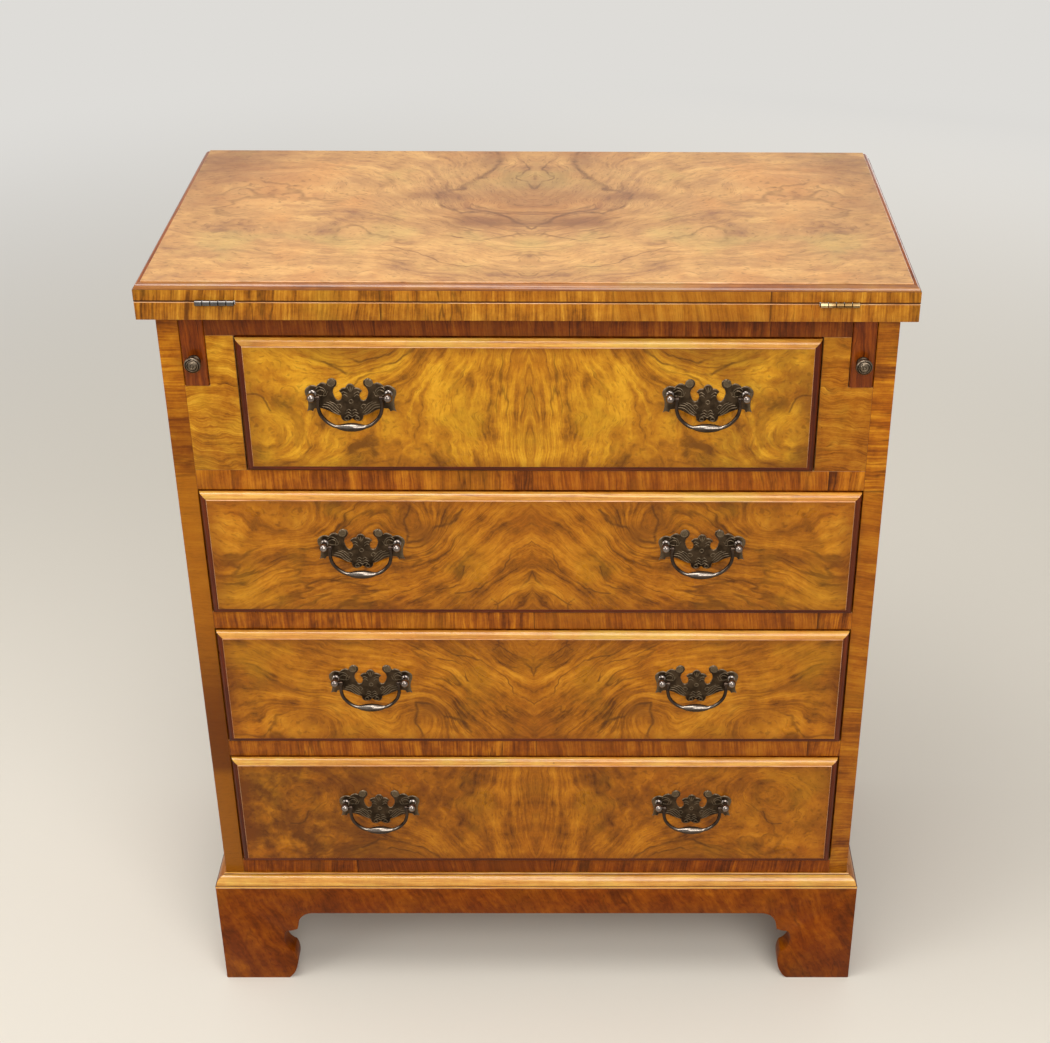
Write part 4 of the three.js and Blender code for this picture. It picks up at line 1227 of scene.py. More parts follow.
# A figure leans by up on the height and by out on the width, which eases off to the ends. It
# has knots, shadows and dark lines, with how strong they are and how far they fray. Places are
# in decimetres from the middle of the field, on one side of the centre joint.
TOP_FIGURE = {
    "up": -0.75, "out": 0.385, "ease": 0.7, "fray": 0.22, "shadow": 0.8, "line": 0.62,
    "knots": [
        (0.0, 0.50, 0.95, 0.95, -1.3), (0.55, 0.10, 0.50, 0.16, -0.35),
        (2.2, 0.9, 0.8, 0.35, 0.4), (1.9, -0.6, 0.9, 0.3, -0.25), (0.0, -0.98, 0.16, 0.12, 0.25),
    ],
    "lines": [
        (0.050, [
            (0.40, 1.63), (0.36, 1.35), (0.50, 0.92), (0.68, 0.62), (0.90, 0.47), (0.92, 0.27),
        ]),
        (0.035, [(0.92, 0.27), (0.80, 0.10), (0.62, -0.04), (0.45, 0.02), (0.26, -0.10)]),
        (0.035, [(0.26, -0.10), (0.10, -0.33), (0.0, -0.43)]),
        (0.020, [(0.16, 1.37), (0.07, 1.13), (0.18, 0.89), (0.06, 0.70), (0.0, 0.58)]),
        (0.024, [(0.0, -0.52), (0.23, -0.58), (0.48, -0.66), (0.72, -0.54)]),
        (0.013, [(0.08, -1.45), (0.30, -1.31), (0.65, -1.18), (0.91, -1.05), (1.25, -0.75)]),
        (0.012, [(0.0, -0.91), (0.09, -0.93), (0.13, -0.96), (0.09, -1.0), (0.0, -1.02)]),
    ],
    "shadows": [
        (0.45, -0.24, 0.50, 0.15, 0.85), (0.10, 0.38, 0.72, 0.55, 0.60),
        (0.45, 1.45, 0.16, 0.38, 0.7), (0.98, 0.42, 0.34, 0.12, 0.6), (2.95, 1.2, 0.35, 0.5, 0.5),
        (2.9, 0.1, 0.4, 0.35, 0.35), (1.7, 0.75, 0.5, 0.12, 0.25),
    ],
}

leaf_low, leaf_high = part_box("fold_leaf")
leaf_bottom = leaf_low.z / DECIMETRE
joint_shades = [(
    JOINT_SHADE, leaf_bottom + JOINT_SHADE_RISE, leaf_bottom + JOINT_SHADE_RISE / 2,
    JOINT_SHADE_AMOUNT,
)]
leaf_front_band = banded_wood(
    "leaf_front_band", "XZY", EDGE_TONES, 1.9, 21.0, shades=joint_shades
)
leaf_side_band = banded_wood("leaf_side_band", "YZX", EDGE_TONES, 1.9, 24.0, shades=joint_shades)
top_finish, tree, shader = new_finish(
    "top_burr_veneer", 0.42, coat=0.08, coat_roughness=0.3, specular=WOOD_SPECULAR
)
leaf_middle = ((leaf_low.x + leaf_high.x) / 2, (leaf_low.y + leaf_high.y) / 2, 0.0)
across, up, place = place_from(tree, "XYZ", leaf_middle, mirrored=True)
field, shadow, line = drawn_figure(tree, across, up, place, TOP_FIGURE)
to_the_right = place_from(tree, "XYZ", leaf_middle)[0]
corner = calc(
    tree, "MULTIPLY", rising(tree, to_the_right, *CORNER_ACROSS), rising(tree, up, *CORNER_UP)
)
corner = calc(tree, "MULTIPLY", corner, CORNER_DARK)
top_marks = [(shadow, TOP_SHADOW), (corner, TOP_SHADOW), (line, TOP_LINE)]
colour_wood(
    tree, shader, place, TOP_TONES, top_marks, specks=0.03, Field=field, Bands=2.6, Seed=31.0,
    Contrast=0.7, Mottle=0.8,
)


def ringed(rings, marks, open_side=None):
    """A worked solid of four-cornered rings, joined and capped, with its finish numbers"""
    points = [corner for ring in rings for corner in ring]
    last = 4 * (len(rings) - 1)
    faces = [(3, 2, 1, 0), (last, last + 1, last + 2, last + 3)]
    numbers = [0, 1]
    for i, row_marks in enumerate(marks):
        for k in range(4):
            if k != open_side:
                j = (k + 1) % 4
                faces.append((4 * i + k, 4 * i + j, 4 * i + 4 + j, 4 * i + 4 + k))
                numbers.append(row_marks[k])
    if open_side is not None:
        near = [4 * i + open_side for i in range(len(rings))]
        far = [4 * i + (open_side + 1) % 4 for i in range(len(rings))]
        faces.append(tuple(near + far[::-1]))
        numbers.append(0)
    work = outward(points, faces)
    work.faces.ensure_lookup_table()
    for face, number in zip(work.faces, numbers):
        face.material_index = number
    return work


def ovolo(width, drop, fillet, quirk):
    """A moulding from the plain edge up to the field, as its distances in and down"""
    rounded = [
        (width - (width - quirk) * math.cos(a), drop - (drop - fillet) * math.sin(a))
        for a in QUARTER
    ]
    return rounded + [(width, ARRIS_BAND_WIDTH), (width + ARRIS_BAND_WIDTH, 0.0)]


def leaf_ring(inset, z):
    """The corners of the leaf at a height, set in from its front and its sides"""
    left, right, front = leaf_low.x + inset, leaf_high.x - inset, leaf_low.y + inset
    return [(left, front, z), (right, front, z), (right, leaf_high.y, z), (left, leaf_high.y, z)]


# The finish numbers of the leaf's front, right, back and left edges, from its underside up
profile = ovolo(LEAF_MOULD_WIDTH, LEAF_MOULD_DROP, LEAF_MOULD_FILLET, LEAF_MOULD_QUIRK)
rings = [
    leaf_ring(LEAF_ARRIS, leaf_low.z), leaf_ring(0.0, leaf_low.z + LEAF_ARRIS),
    leaf_ring(0.0, leaf_high.z - LEAF_MOULD_DROP),
]
rings += [leaf_ring(inset, leaf_high.z - down) for inset, down in profile]
# The underside arris and the ledge below the round are quirks in painted shade. The fillet and
# arris at the top are pale with wear and a painted highlight.
plain_marks, quirk_marks = (5, 6, 5, 6), (4, 4, 4, 4)
round_marks, highlit_arris_marks = (2, 3, 2, 3), (7, 7, 7, 7)
marks = [quirk_marks, plain_marks, quirk_marks, *[round_marks] * ROUND_STEPS]
marks += [highlit_arris_marks, highlit_arris_marks]
leaf_piece = finished(ringed(rings, marks, open_side=2), "fold_leaf_board", [
    inner_veneer, top_finish, leaf_mould, leaf_side_mould, quirk_finish,
    leaf_front_band, leaf_side_band, worn_and_highlit_arris,
])
cutters = []
for name in SIDES:
    node = "hinge_fixed_" + name
    low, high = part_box(node)
    mortise = block(
        (low.x - MORTISE_GAP, low.y - MORTISE_GAP, leaf_low.z - MORTISE_DEPTH),
        (high.x + MORTISE_GAP, high.y + MORTISE_GAP, leaf_low.z + MORTISE_DEPTH),
    )
    cutters.append(finished(mortise, node + "_mortise", []))
fit(carved(leaf_piece, cutters), "leaf", "fold_leaf")

# Drawer boxes. Sides and backs of secondary wood, dovetailed together, around a thin bottom
# that slides in grooves.
LINING_ARRIS = 0.3 * MM
lining_deep = straight_wood(
    "lining_deep", "ZYX", PLAIN_TONES, roughness=0.66, coat=0.0, Bands=5.0, Seed=14.0
)
BOX_FINISHES = {
    "side_left": lining_deep, "side_right": lining_deep,
    "back": lining_across, "bottom": lining_across,
}
DRAWERS = range(1, 5)
for number in DRAWERS:
    body = f"drawer_{number}"
    for part_name, finish in BOX_FINISHES.items():
        node = f"{body}_{part_name}"
        dressed(node, node + "_wood", body, [finish], width=LINING_ARRIS)

# Drawer fronts. Book-matched walnut within a solid ovolo moulding. The third front is veneered
# as the second turned over, and the fourth as the first. Sockets behind take the dovetails.
FRONT_INSIDE = 14 * MM
FRONT_MOULD = 6 * MM
FRONT_FILLET = 1 * MM
SIDE_DROP = 7 * MM
RUN_LIFT = 0.3 * MM
FRONT_GAP_TOP = 1.6 * MM
FRONT_GAP_BOTTOM = 0.7 * MM
LINING_THICK = 10 * MM
TAILS = 4
TAIL_LENGTH = 9 * MM
TAIL_SLOPE = 0.15
TAIL_SHARE = 0.72
GROOVE_RISE = 8 * MM
GROOVE_HEIGHT = 5.4 * MM
BOTTOM_GROOVE = 4 * MM
OVERRUN = 2 * MM
END_RIM = (0.22, 0.02)
EDGE_RIM = (0.18, 0.03)
RIM_DARK = 0.5
END_SHADE = (0.3, 2.4)
LEAST_PATCH = 0.1
MOST_PATCH = 1.9
front_back = case_front + FRONT_INSIDE

CHEVRON_TONES = wood_tones((196, 130, 28), (176, 108, 16), (146, 84, 8), (90, 48, 4))
FRONT_TONES = [
    wood_tones((216, 160, 38), (198, 138, 26), (168, 106, 16), (112, 66, 8)),
    CHEVRON_TONES, CHEVRON_TONES,
    wood_tones((194, 126, 26), (170, 102, 14), (136, 76, 7), (84, 42, 4)),
]
FRONT_LINE = shade(72, 40, 8)
FRONT_SHADOW = shade(118, 66, 10)
END_SHADOW = shade(88, 44, 6)
EDGE_SHADE = shade(104, 48, 6)

# What the figures of the fronts have in common, and then each figure as for the top
FRONT_FIGURE = {"ease": 0.62, "fray": 0.16, "shadow": 0.85, "line": 0.7}
CURLED = {
    **FRONT_FIGURE, "up": 0.25, "out": 0.75,
    "knots": [
        (1.46, 0.85, 0.50, 0.42, 1.1), (2.25, -0.25, 0.35, 0.30, 0.35),
        (0.0, 0.0, 0.22, 1.6, -0.5), (0.70, -0.75, 0.45, 0.45, 0.35),
    ],
    "lines": [
        (0.022, [
            (0.95, 0.58), (1.10, 0.44), (1.30, 0.36), (1.55, 0.34), (1.80, 0.45), (1.98, 0.58),
        ]),
        (0.015, [(1.05, 0.58), (1.20, 0.50), (1.42, 0.46), (1.65, 0.50)]),
        (0.018, [(2.40, 0.12), (2.28, 0.08), (2.22, -0.04)]),
    ],
    "shadows": [
        (1.45, 0.55, 0.40, 0.14, 0.6), (2.35, 0.05, 0.15, 0.12, 0.5), (0.0, 0.0, 0.12, 0.6, 0.25),
    ],
}
CHEVRON = {
    **FRONT_FIGURE, "up": 1.0, "out": 0.95,
    "knots": [
        (0.32, -0.42, 0.26, 0.24, -0.12), (1.02, 0.26, 0.26, 0.26, 0.45),
        (2.15, 0.30, 0.45, 0.25, 0.35), (1.8, -0.45, 0.6, 0.25, -0.2), (2.7, -0.2, 0.3, 0.4, 0.25),
    ],
    "lines": [
        (0.026, [(1.06, 0.57), (1.12, 0.38), (1.12, 0.18)]),
        (0.024, [(0.64, 0.50), (0.72, 0.36), (0.86, 0.32), (0.99, 0.20), (1.12, 0.16)]),
        (0.016, [(0.02, -0.02), (0.06, -0.23), (0.15, -0.38), (0.37, -0.51)]),
        (0.012, [(0.0, 0.19), (0.19, 0.05), (0.29, -0.17), (0.50, -0.34), (0.74, -0.38)]),
        (0.012, [(0.62, -0.10), (0.70, -0.28), (0.85, -0.36), (1.20, -0.51)]),
        (0.014, [(0.36, -0.58), (0.34, -0.48), (0.38, -0.44)]),
    ],
    "shadows": [
        (0.98, 0.24, 0.15, 0.10, 0.85), (1.14, 0.42, 0.05, 0.18, 0.5),
        (0.0, 0.42, 0.25, 0.20, 0.4), (0.0, -0.25, 0.05, 0.25, 0.5),
        (2.1, 0.35, 0.25, 0.12, 0.35), (0.55, -0.45, 0.35, 0.10, 0.3),
        (2.55, -0.05, 0.45, 0.07, 0.45), (1.9, -0.42, 0.25, 0.08, 0.3),
    ],
}
# Each front's figure, whether it is turned over, its darker end, how much darker that is, and
# how strong the grain is
FRONTS = [
    (1, CURLED, False, 1, 0.24, 0.95), (2, CHEVRON, False, 1, 0.1, 0.95),
    (3, CHEVRON, True, 1, 0.05, 0.95), (4, CURLED, True, -1, 0.46, 0.7),
]

# The upright and lower mouldings take the dark tones, a painted shade, and the top moulding takes
# the light moulding_long, a painted highlight.
mould_upright = straight_wood(
    "moulding_upright", "XZY", LOW_MOULD_TONES, roughness=0.3, coat=0.15, Seed=7.0, **FINE
)
mould_low = straight_wood(
    "moulding_low", "ZXY", LOW_MOULD_TONES, roughness=0.3, coat=0.15, Seed=9.0, **FINE
)


def front_veneer(number, low, high, figure, flipped, dark_end, darker, contrast):
    """The veneer of a drawer front, drawn from the middle of its field"""
    finish, tree, shader = new_finish(
        f"drawer_{number}_veneer", 0.3, coat=0.15, specular=WOOD_SPECULAR
    )
    middle = (low + high) / 2
    centre = (middle.x, 0.0, middle.z)
    across, up, place = place_from(tree, "XZY", centre, mirrored=True, flipped=flipped)
    field, shadow, line = drawn_figure(tree, across, up, place, figure)
    half_width, half_height = [(high[i] - low[i]) / 2 / DECIMETRE for i in (0, 2)]
    end = rising(tree, across, *[half_width - gap for gap in END_RIM])
    from_middle = calc(tree, "ABSOLUTE", up)
    edge = rising(tree, from_middle, *[half_height - gap for gap in EDGE_RIM])
    rim = calc(tree, "MULTIPLY", calc(tree, "MAXIMUM", end, edge), RIM_DARK)
    to_the_right = place_from(tree, "XZY", centre)[0]
    end_shade = rising(tree, calc(tree, "MULTIPLY", to_the_right, dark_end), *END_SHADE)
    patchy = noise(tree, place, 2.6, detail=5.0, roughness=0.65)
    patchy = rising(tree, patchy, 0.4, 0.6, LEAST_PATCH * darker, MOST_PATCH * darker)
    end_shade = calc(tree, "MULTIPLY", end_shade, patchy)
    marks = [
        (end_shade, END_SHADOW), (shadow, FRONT_SHADOW), (line, FRONT_LINE), (rim, EDGE_SHADE),
    ]
    colour_wood(
        tree, shader, place, FRONT_TONES[number - 1], marks, Field=field, Bands=3.4,
        Seed=40.0 + 3 * number, Contrast=contrast, Mottle=1.3,
    )
    return finish


def front_ring(low, high, inset, y):
    """The corners of a drawer front at a depth, set in from its edges"""
    left, right, bottom, top = low.x + inset, high.x - inset, low.z + inset, high.z - inset
    return [(left, y, bottom), (right, y, bottom), (right, y, top), (left, y, top)]


def front_cutters(low, high):
    """The sockets for the sides' tails and the groove for the bottom, behind a front"""
    side_low = low.z - FRONT_GAP_BOTTOM + RUN_LIFT
    side_high = high.z + FRONT_GAP_TOP - SIDE_DROP
    tail_pitch = (side_high - side_low) / TAILS
    root_half = tail_pitch * TAIL_SHARE / 2 - TAIL_SLOPE * TAIL_LENGTH + CASE_GAP
    depths = (-OVERRUN, TAIL_LENGTH + CASE_GAP)
    near, far = [(front_back + CASE_GAP - d, root_half + TAIL_SLOPE * d) for d in depths]
    inner_x = high.x - LINING_THICK - CASE_GAP
    sockets = []
    for i in range(TAILS):
        middle_z = side_low + (i + 0.5) * tail_pitch
        outline = [
            (near[0], middle_z - near[1]), (far[0], middle_z - far[1]),
            (far[0], middle_z + far[1]), (near[0], middle_z + near[1]),
        ]
        for x_low, x_high in ((inner_x, high.x + OVERRUN), (low.x - OVERRUN, -inner_x)):
            sockets.append(carried(outline, at_x(x_low), at_x(x_high)))
    groove_x = high.x - LINING_THICK + BOTTOM_GROOVE
    groove_z = side_low + GROOVE_RISE
    groove = block(
        (-groove_x, front_back - BOTTOM_GROOVE, groove_z),
        (groove_x, front_back + OVERRUN, groove_z + GROOVE_HEIGHT),
    )
    return [finished(together(*sockets), "tail_sockets", []), finished(groove, "bottom_groove", [])]


# The finish numbers of a front's bottom, right, top and left edges, from its back forward
# The fillet round the field is a quirk in painted shade, but pale along the top with wear and a
# painted highlight. Its arris is pale on three sides and in painted shade at the bottom.
plain_marks, round_marks = (5, 5, 5, 5), (6, 3, 2, 3)
fillet_marks, rim_marks = (4, 4, 7, 4), (4, 7, 7, 7)
marks = [plain_marks, *[round_marks] * ROUND_STEPS, fillet_marks, rim_marks]
profile = ovolo(FRONT_MOULD, FRONT_MOULD, FRONT_FILLET, 0.0)
for number, *looks in FRONTS:
    body = f"drawer_{number}"
    node = body + "_front"
    low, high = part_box(node)
    rings = [front_ring(low, high, 0.0, front_back)]
    rings += [front_ring(low, high, inset, low.y + down) for inset, down in profile]
    veneer = front_veneer(number, low, high, *looks)
    piece = finished(ringed(rings, marks), node + "_board", [
        lining_across, veneer, mould_along_x, mould_upright, quirk_finish, loper_end, mould_low,
        worn_and_highlit_arris,
    ])
    fit(carved(piece, front_cutters(low, high)), body, node)

# Handle backplates. Cast brass, cut to a winged outline with bevelled edges, toned dark, with
# feathers and leaves in low relief. Each carries two turned posts that end in pierced balls.
POST_SPACING = 64 * MM
POST_REACH = 9.5 * MM
POST_RADIUS = 2.4 * MM
COLLAR_RADIUS = 3.5 * MM
COLLAR_THICK = 1.4 * MM
BALL_RADIUS = 3.8 * MM
BORE_RADIUS = 1.6 * MM
BORE_DEPTH = 2.9 * MM
BORE_STEPS = 16
TURN_STEPS = 28
PLATE_THICK = 1.5 * MM

# The sizes of the plate's mesh and of its relief are in millimetres
PLATE_HALF = 38.6
PLATE_RISE = 14.1
PLATE_DROP = 26.1
PLATE_CREST = 0.64
PLATE_CURVE_STEPS = 8
PLATE_GRID = 0.8
EDGE_BEVEL = 0.9
EDGE_FALL = 0.7
EDGE_CLEAR = 0.45
GROUND_SINK = 0.3
CHASED_HALF = 0.5
CHASED_RISE = 0.26
CHASED_STEP = 0.6
DOME_RISE = 0.3
ROUTE_STEPS = 6
RING_SIDES = 20
MESH_MERGE = 0.001

# How much the plate's dark tone is lightened towards brass, and over how much of its bevels and
# raised lines: wear together with a painted highlight there, and wear alone on the tails and discs
RIM_WEAR_AND_HIGHLIGHT = 0.6
RIM_WEAR_AND_HIGHLIGHT_SHARE = 0.4
LINE_WEAR_AND_HIGHLIGHT = 0.5
LINE_WEAR_AND_HIGHLIGHT_SHARE = 0.7
WORN_TAIL = 0.3
TAIL_FROM = 33
TAIL_RUN = 3

# The right half of the upper edge from the crest out to the tail, as shares of the plate's
# half width and rise, and then the lower edge back to the middle. Each row is handle and end.
PLATE_TOP = [
    ((0.07, 0.64), (0.104, 0.37)), ((0.2, 0.4), (0.251, 0.14)), ((0.19, 0.05), (0.192, -0.18)),
    ((0.2, -0.46), (0.282, -0.47)), ((0.35, -0.4), (0.386, 0.06)), ((0.37, 0.36), (0.33, 0.42)),
    ((0.26, 0.62), (0.3, 0.86)), ((0.4, 1.14), (0.48, 0.86)), ((0.5, 0.72), (0.515, 0.62)),
    ((0.61, 0.86), (0.73, 0.47)), ((0.86, 0.66), (0.966, 0.31)), ((1.02, 0.1), (0.97, -0.2)),
]
PLATE_LOW = [
    ((0.9, -0.4), (0.977, -0.655)), ((0.91, -0.58), (0.842, -0.655)),
    ((0.83, -0.58), (0.8, -0.545)), ((0.64, -0.5), (0.443, -0.68)),
    ((0.32, -0.78), (0.249, -0.79)), ((0.24, -1.02), (0.13, -1)), ((0.05, -0.99), (0, -0.9)),
]

# The relief lines of the right half, in millimetres from between the posts
CHASED_LINES = [
    [(8.1, 0.5), (5.9, 1.9), (3.1, 0.2)], [(7, -1.8), (5, -0.8), (3.1, -2.5)],
    [(2.5, 6.3), (1.1, 2.9)], [(0, 6.3), (0.5, 2.2)],
    [(24.3, -12), (19.3, -13.3), (14.8, -17.4), (10.3, -20)],
    [(23.2, -9.9), (18.7, -10.9), (14.2, -15.3), (10.9, -18)],
    [(20.4, -8.2), (16.5, -9.9), (12.6, -14), (9.8, -17)],
    [(17.6, -7.6), (14.2, -9.3), (10.9, -13.3)],
    [(12, -10.6), (9.8, -9.9), (8.1, -12), (9.2, -13.3)],
    [(28.8, 4.3), (26, 6.3), (22, 4.3), (20.4, 0.2)],
    [(28.2, 1.9), (24.9, 3.6), (22.1, 1.6), (23.2, -1.8)],
    [(27.6, -1.1), (24.9, -1.8), (21, -1.8), (19.3, 1.6)],
    [(4.2, -16), (2.5, -14.7), (0.8, -16)], [(5, -18.4), (2.8, -17.4), (0.8, -19)],
    [(4.5, -20.7), (2.5, -20), (0.6, -21.4)],
]
CHASED_DISC = ((16, 10.3), 3.3)
CHASED_RINGS = [((0, -7.2), 1.7), ((4.6, -23.3), 1.7), CHASED_DISC]


def smooth_route(route, steps):
    """A smooth run of points through the points of a route"""
    ends = [route[0], *route, route[-1]]
    points = []
    for before, start, end, after in zip(ends, ends[1:], ends[2:], ends[3:]):
        for step in range(steps):
            t = step / steps
            points.append(tuple(
                0.5 * (2 * s + (e - b) * t + (2 * b - 5 * s + 4 * e - a) * t * t
                       + (3 * s - b - 3 * e + a) * t ** 3)
                for b, s, e, a in zip(before, start, end, after)
            ))
    return points + [tuple(route[-1])]


def mirror(points):
    """Points on the other side of the middle line"""
    return [(-x, y) for x, y in points]


def plate_outline():
    """The whole edge of the plate in millimetres, clockwise from the crest"""
    tail_x, tail_y = PLATE_TOP[-1][1]
    upper = bent_line((0.0, PLATE_CREST), PLATE_TOP, PLATE_CURVE_STEPS)[:-1]
    lower = bent_line((tail_x, tail_y * PLATE_RISE / PLATE_DROP), PLATE_LOW, PLATE_CURVE_STEPS)
    half = [(a * PLATE_HALF, b * PLATE_RISE) for a, b in upper]
    half += [(a * PLATE_HALF, b * PLATE_DROP) for a, b in lower]
    return half + mirror(half[1:-1])[::-1]


def distances(points, routes):
    """How far each point is from the nearest of the routes' stretches"""
    starts = np.array([start for route in routes for start in route[:-1]])
    ends = np.array([end for route in routes for end in route[1:]])
    runs = ends - starts
    lengths = np.maximum((runs ** 2).sum(axis=1), 1e-12)
    nearest = np.full(len(points), np.inf)
    for start, run, length in zip(starts, runs, lengths):
        share = np.clip(((points - start) @ run) / length, 0, 1)
        gaps = np.linalg.norm(points - start - share[:, None] * run, axis=1)
        nearest = np.minimum(nearest, gaps)
    return nearest


def inside(points, outline):
    """Which points lie within an outline"""
    hits = np.zeros(len(points), dtype=int)
    for (ax, ay), (bx, by) in zip(outline, outline[1:] + outline[:1]):
        if ay != by:
            crosses = (ay > points[:, 1]) != (by > points[:, 1])
            hits += crosses & (points[:, 0] < ax + (points[:, 1] - ay) * (bx - ax) / (by - ay))
    return hits % 2 == 1


def spaced(route, step):
    """Points along a route at even steps"""
    points = []
    for start, end in zip(route, route[1:]):
        count = max(1, round(math.dist(start, end) / step))
        points += [tuple(s + (e - s) * i / count for s, e in zip(start, end)) for i in range(count)]
    return points + [route[-1]]


def beside(route, distance):
    """The points of a route moved to one side of it"""
    moved = []
    for before, here, after in zip([route[0]] + route[:-1], route, route[1:] + [route[-1]]):
        run = Vector(after) - Vector(before)
        if run.length > 0:
            moved.append(tuple(Vector(here) + distance * Vector((-run.y, run.x)).normalized()))
    return moved


def chased_points(edge, closed, routes):
    """The points of the plate's mesh within its edge: a grid, the relief's and the bevel's"""
    columns = round(PLATE_HALF / PLATE_GRID)
    grid = [
        (x * PLATE_GRID, y * PLATE_GRID + (x % 2) * PLATE_GRID / 2)
        for x in range(-columns, columns + 1)
        for y in range(-round(PLATE_DROP / PLATE_GRID), round(PLATE_RISE / PLATE_GRID) + 1)
    ]
    relief = []
    for route in routes:
        stepped = spaced(route, CHASED_STEP)
        relief += stepped + beside(stepped, CHASED_HALF) + beside(stepped, -CHASED_HALF)
    rim = beside(edge, -EDGE_BEVEL / 2) + beside(edge, -EDGE_BEVEL)
    grid, relief, rim = map(np.array, (grid, relief, rim))
    grid = grid[distances(grid, routes) > CHASED_HALF + PLATE_GRID / 3]
    grid = grid[distances(grid, [closed]) > EDGE_BEVEL + PLATE_GRID / 3]
    relief = relief[distances(relief, [closed]) > EDGE_BEVEL / 3]
    rim = rim[distances(rim, [closed]) > EDGE_BEVEL * EDGE_CLEAR]
    free = np.concatenate([grid, relief, rim])
    return free[inside(free, closed[:-1])]


def fading(gap, width):
    """A share that falls from 1 to 0 over a width"""
    return np.clip(1 - gap / width, 0, 1)


def plate_relief(places, closed, routes):
    """How far out each place of the plate lies, in millimetres, and how much it is lightened by
    wear and painted highlight
    """
    rim_gap = distances(places, [closed])
    line_gap = distances(places, routes)
    across = np.abs(places[:, 0])
    (disc_x, disc_z), disc_radius = CHASED_DISC
    disc_gap = np.hypot(across - disc_x, places[:, 1] - disc_z) / disc_radius
    raised = np.maximum(
        CHASED_RISE * fading(line_gap, CHASED_HALF), DOME_RISE * fading(disc_gap ** 2, 1)
    )
    depth = PLATE_THICK / MM - EDGE_FALL * fading(rim_gap, EDGE_BEVEL) ** 2 + raised - GROUND_SINK
    wear_and_highlight = np.max([
        RIM_WEAR_AND_HIGHLIGHT * fading(rim_gap, RIM_WEAR_AND_HIGHLIGHT_SHARE * EDGE_BEVEL),
        LINE_WEAR_AND_HIGHLIGHT * fading(line_gap, LINE_WEAR_AND_HIGHLIGHT_SHARE * CHASED_HALF),
        WORN_TAIL * np.clip((across - TAIL_FROM) / TAIL_RUN, 0, 1),
        WORN_TAIL * (disc_gap < 1),
    ], axis=0)
    return depth, wear_and_highlight


def chased_plate():
    """The plate as a worked solid, which holds how much each of its points is lightened by wear and
    painted highlight
    """
    outline = plate_outline()
    closed = outline + outline[:1]
    right = [smooth_route(route, ROUTE_STEPS) for route in CHASED_LINES]
    rings = [circle(middle, radius, RING_SIDES) for middle, radius in CHASED_RINGS]
    rings = [ring + ring[:1] for ring in rings]
    routes = right + [mirror(route) for route in right]
    routes += rings + [mirror(ring) for ring in rings[1:]]
    edge = spaced(closed, CHASED_STEP)
    free = chased_points(edge, closed, routes)
    flat = [Vector(point) for point in edge[:-1] + free.tolist()]
    rim_count = len(edge) - 1
    rim_edges = [(i, (i + 1) % rim_count) for i in range(rim_count)]
    points, _, faces, *_ = delaunay_2d_cdt(flat, rim_edges, [], 1, MESH_MERGE)
    places = np.array([tuple(point) for point in points])
    work = bmesh.new()
    wear_and_highlight_layer = work.verts.layers.float.new("wear_and_highlight")
    verts = []
    for (x, z), depth, amount in zip(places, *plate_relief(places, closed, routes)):
        vert = work.verts.new((x * MM, -depth * MM, z * MM))
        vert[wear_and_highlight_layer] = amount
        verts.append(vert)
    for face in faces:
        work.faces.new([verts[i] for i in face])
    border = [item for item in work.edges if item.is_boundary]
    pulled = bmesh.ops.extrude_edge_only(work, edges=border)["geom"]
    for item in pulled:
        if isinstance(item, bmesh.types.BMVert):
            item.co.y = 0.0
    back_edges = [
        item for item in pulled if isinstance(item, bmesh.types.BMEdge) and item.is_boundary
    ]
    bmesh.ops.holes_fill(work, edges=back_edges, sides=0)
    bmesh.ops.recalc_face_normals(work, faces=work.faces)
    return work


def turned_solid(rows, place, steps=TURN_STEPS):
    """A solid turned about an axis from its outline's radii and reaches, closed at its ends"""
    work = bmesh.new()
    rings = []
    for radius, reach in rows:
        section = circle((0.0, 0.0), radius, steps if radius > 0 else 1)
        rings.append([work.verts.new(place(a, b, reach)) for a, b in section])
    for ring, following in zip(rings, rings[1:]):
        for i in range(steps):
            j = (i + 1) % steps
            corners = [ring[i % len(ring)], ring[j % len(ring)]]
            corners += [following[j % len(following)], following[i % len(following)]]
            work.faces.new(list(dict.fromkeys(corners)))
    for ring in (rings[0], rings[-1]):
        if len(ring) > 1:
            work.faces.new(ring)
    bmesh.ops.recalc_face_normals(work, faces=work.faces)
    return work


def forward(x, y=0.0, z=0.0):
    """Places about an axis that points to the front"""
    return lambda a, b, reach: (x + a, y - reach, z + b)


def along_swing(side, start=0.0):
    """Places about the axis that the bails swing on, from a start out to one side"""
    return lambda a, b, reach: (side * (start + reach), a - POST_REACH, b)


def post_rows():
    """A post from inside the plate out: collar, neck and ball"""
    collar = [
        (0.0, PLATE_THICK / 2), (COLLAR_RADIUS, PLATE_THICK / 2),
        (COLLAR_RADIUS, PLATE_THICK + 0.3 * COLLAR_THICK),
        (0.92 * COLLAR_RADIUS, PLATE_THICK + 0.55 * COLLAR_THICK),
        (0.78 * COLLAR_RADIUS, PLATE_THICK + 0.8 * COLLAR_THICK),
        (POST_RADIUS, PLATE_THICK + COLLAR_THICK),
    ]
    angles = arc(-math.acos(POST_RADIUS / BALL_RADIUS), math.pi / 2, ROUND_STEPS)[:-1]
    ball = [(BALL_RADIUS * math.cos(a), POST_REACH + BALL_RADIUS * math.sin(a)) for a in angles]
    return collar + ball + [(0.0, POST_REACH + BALL_RADIUS)]


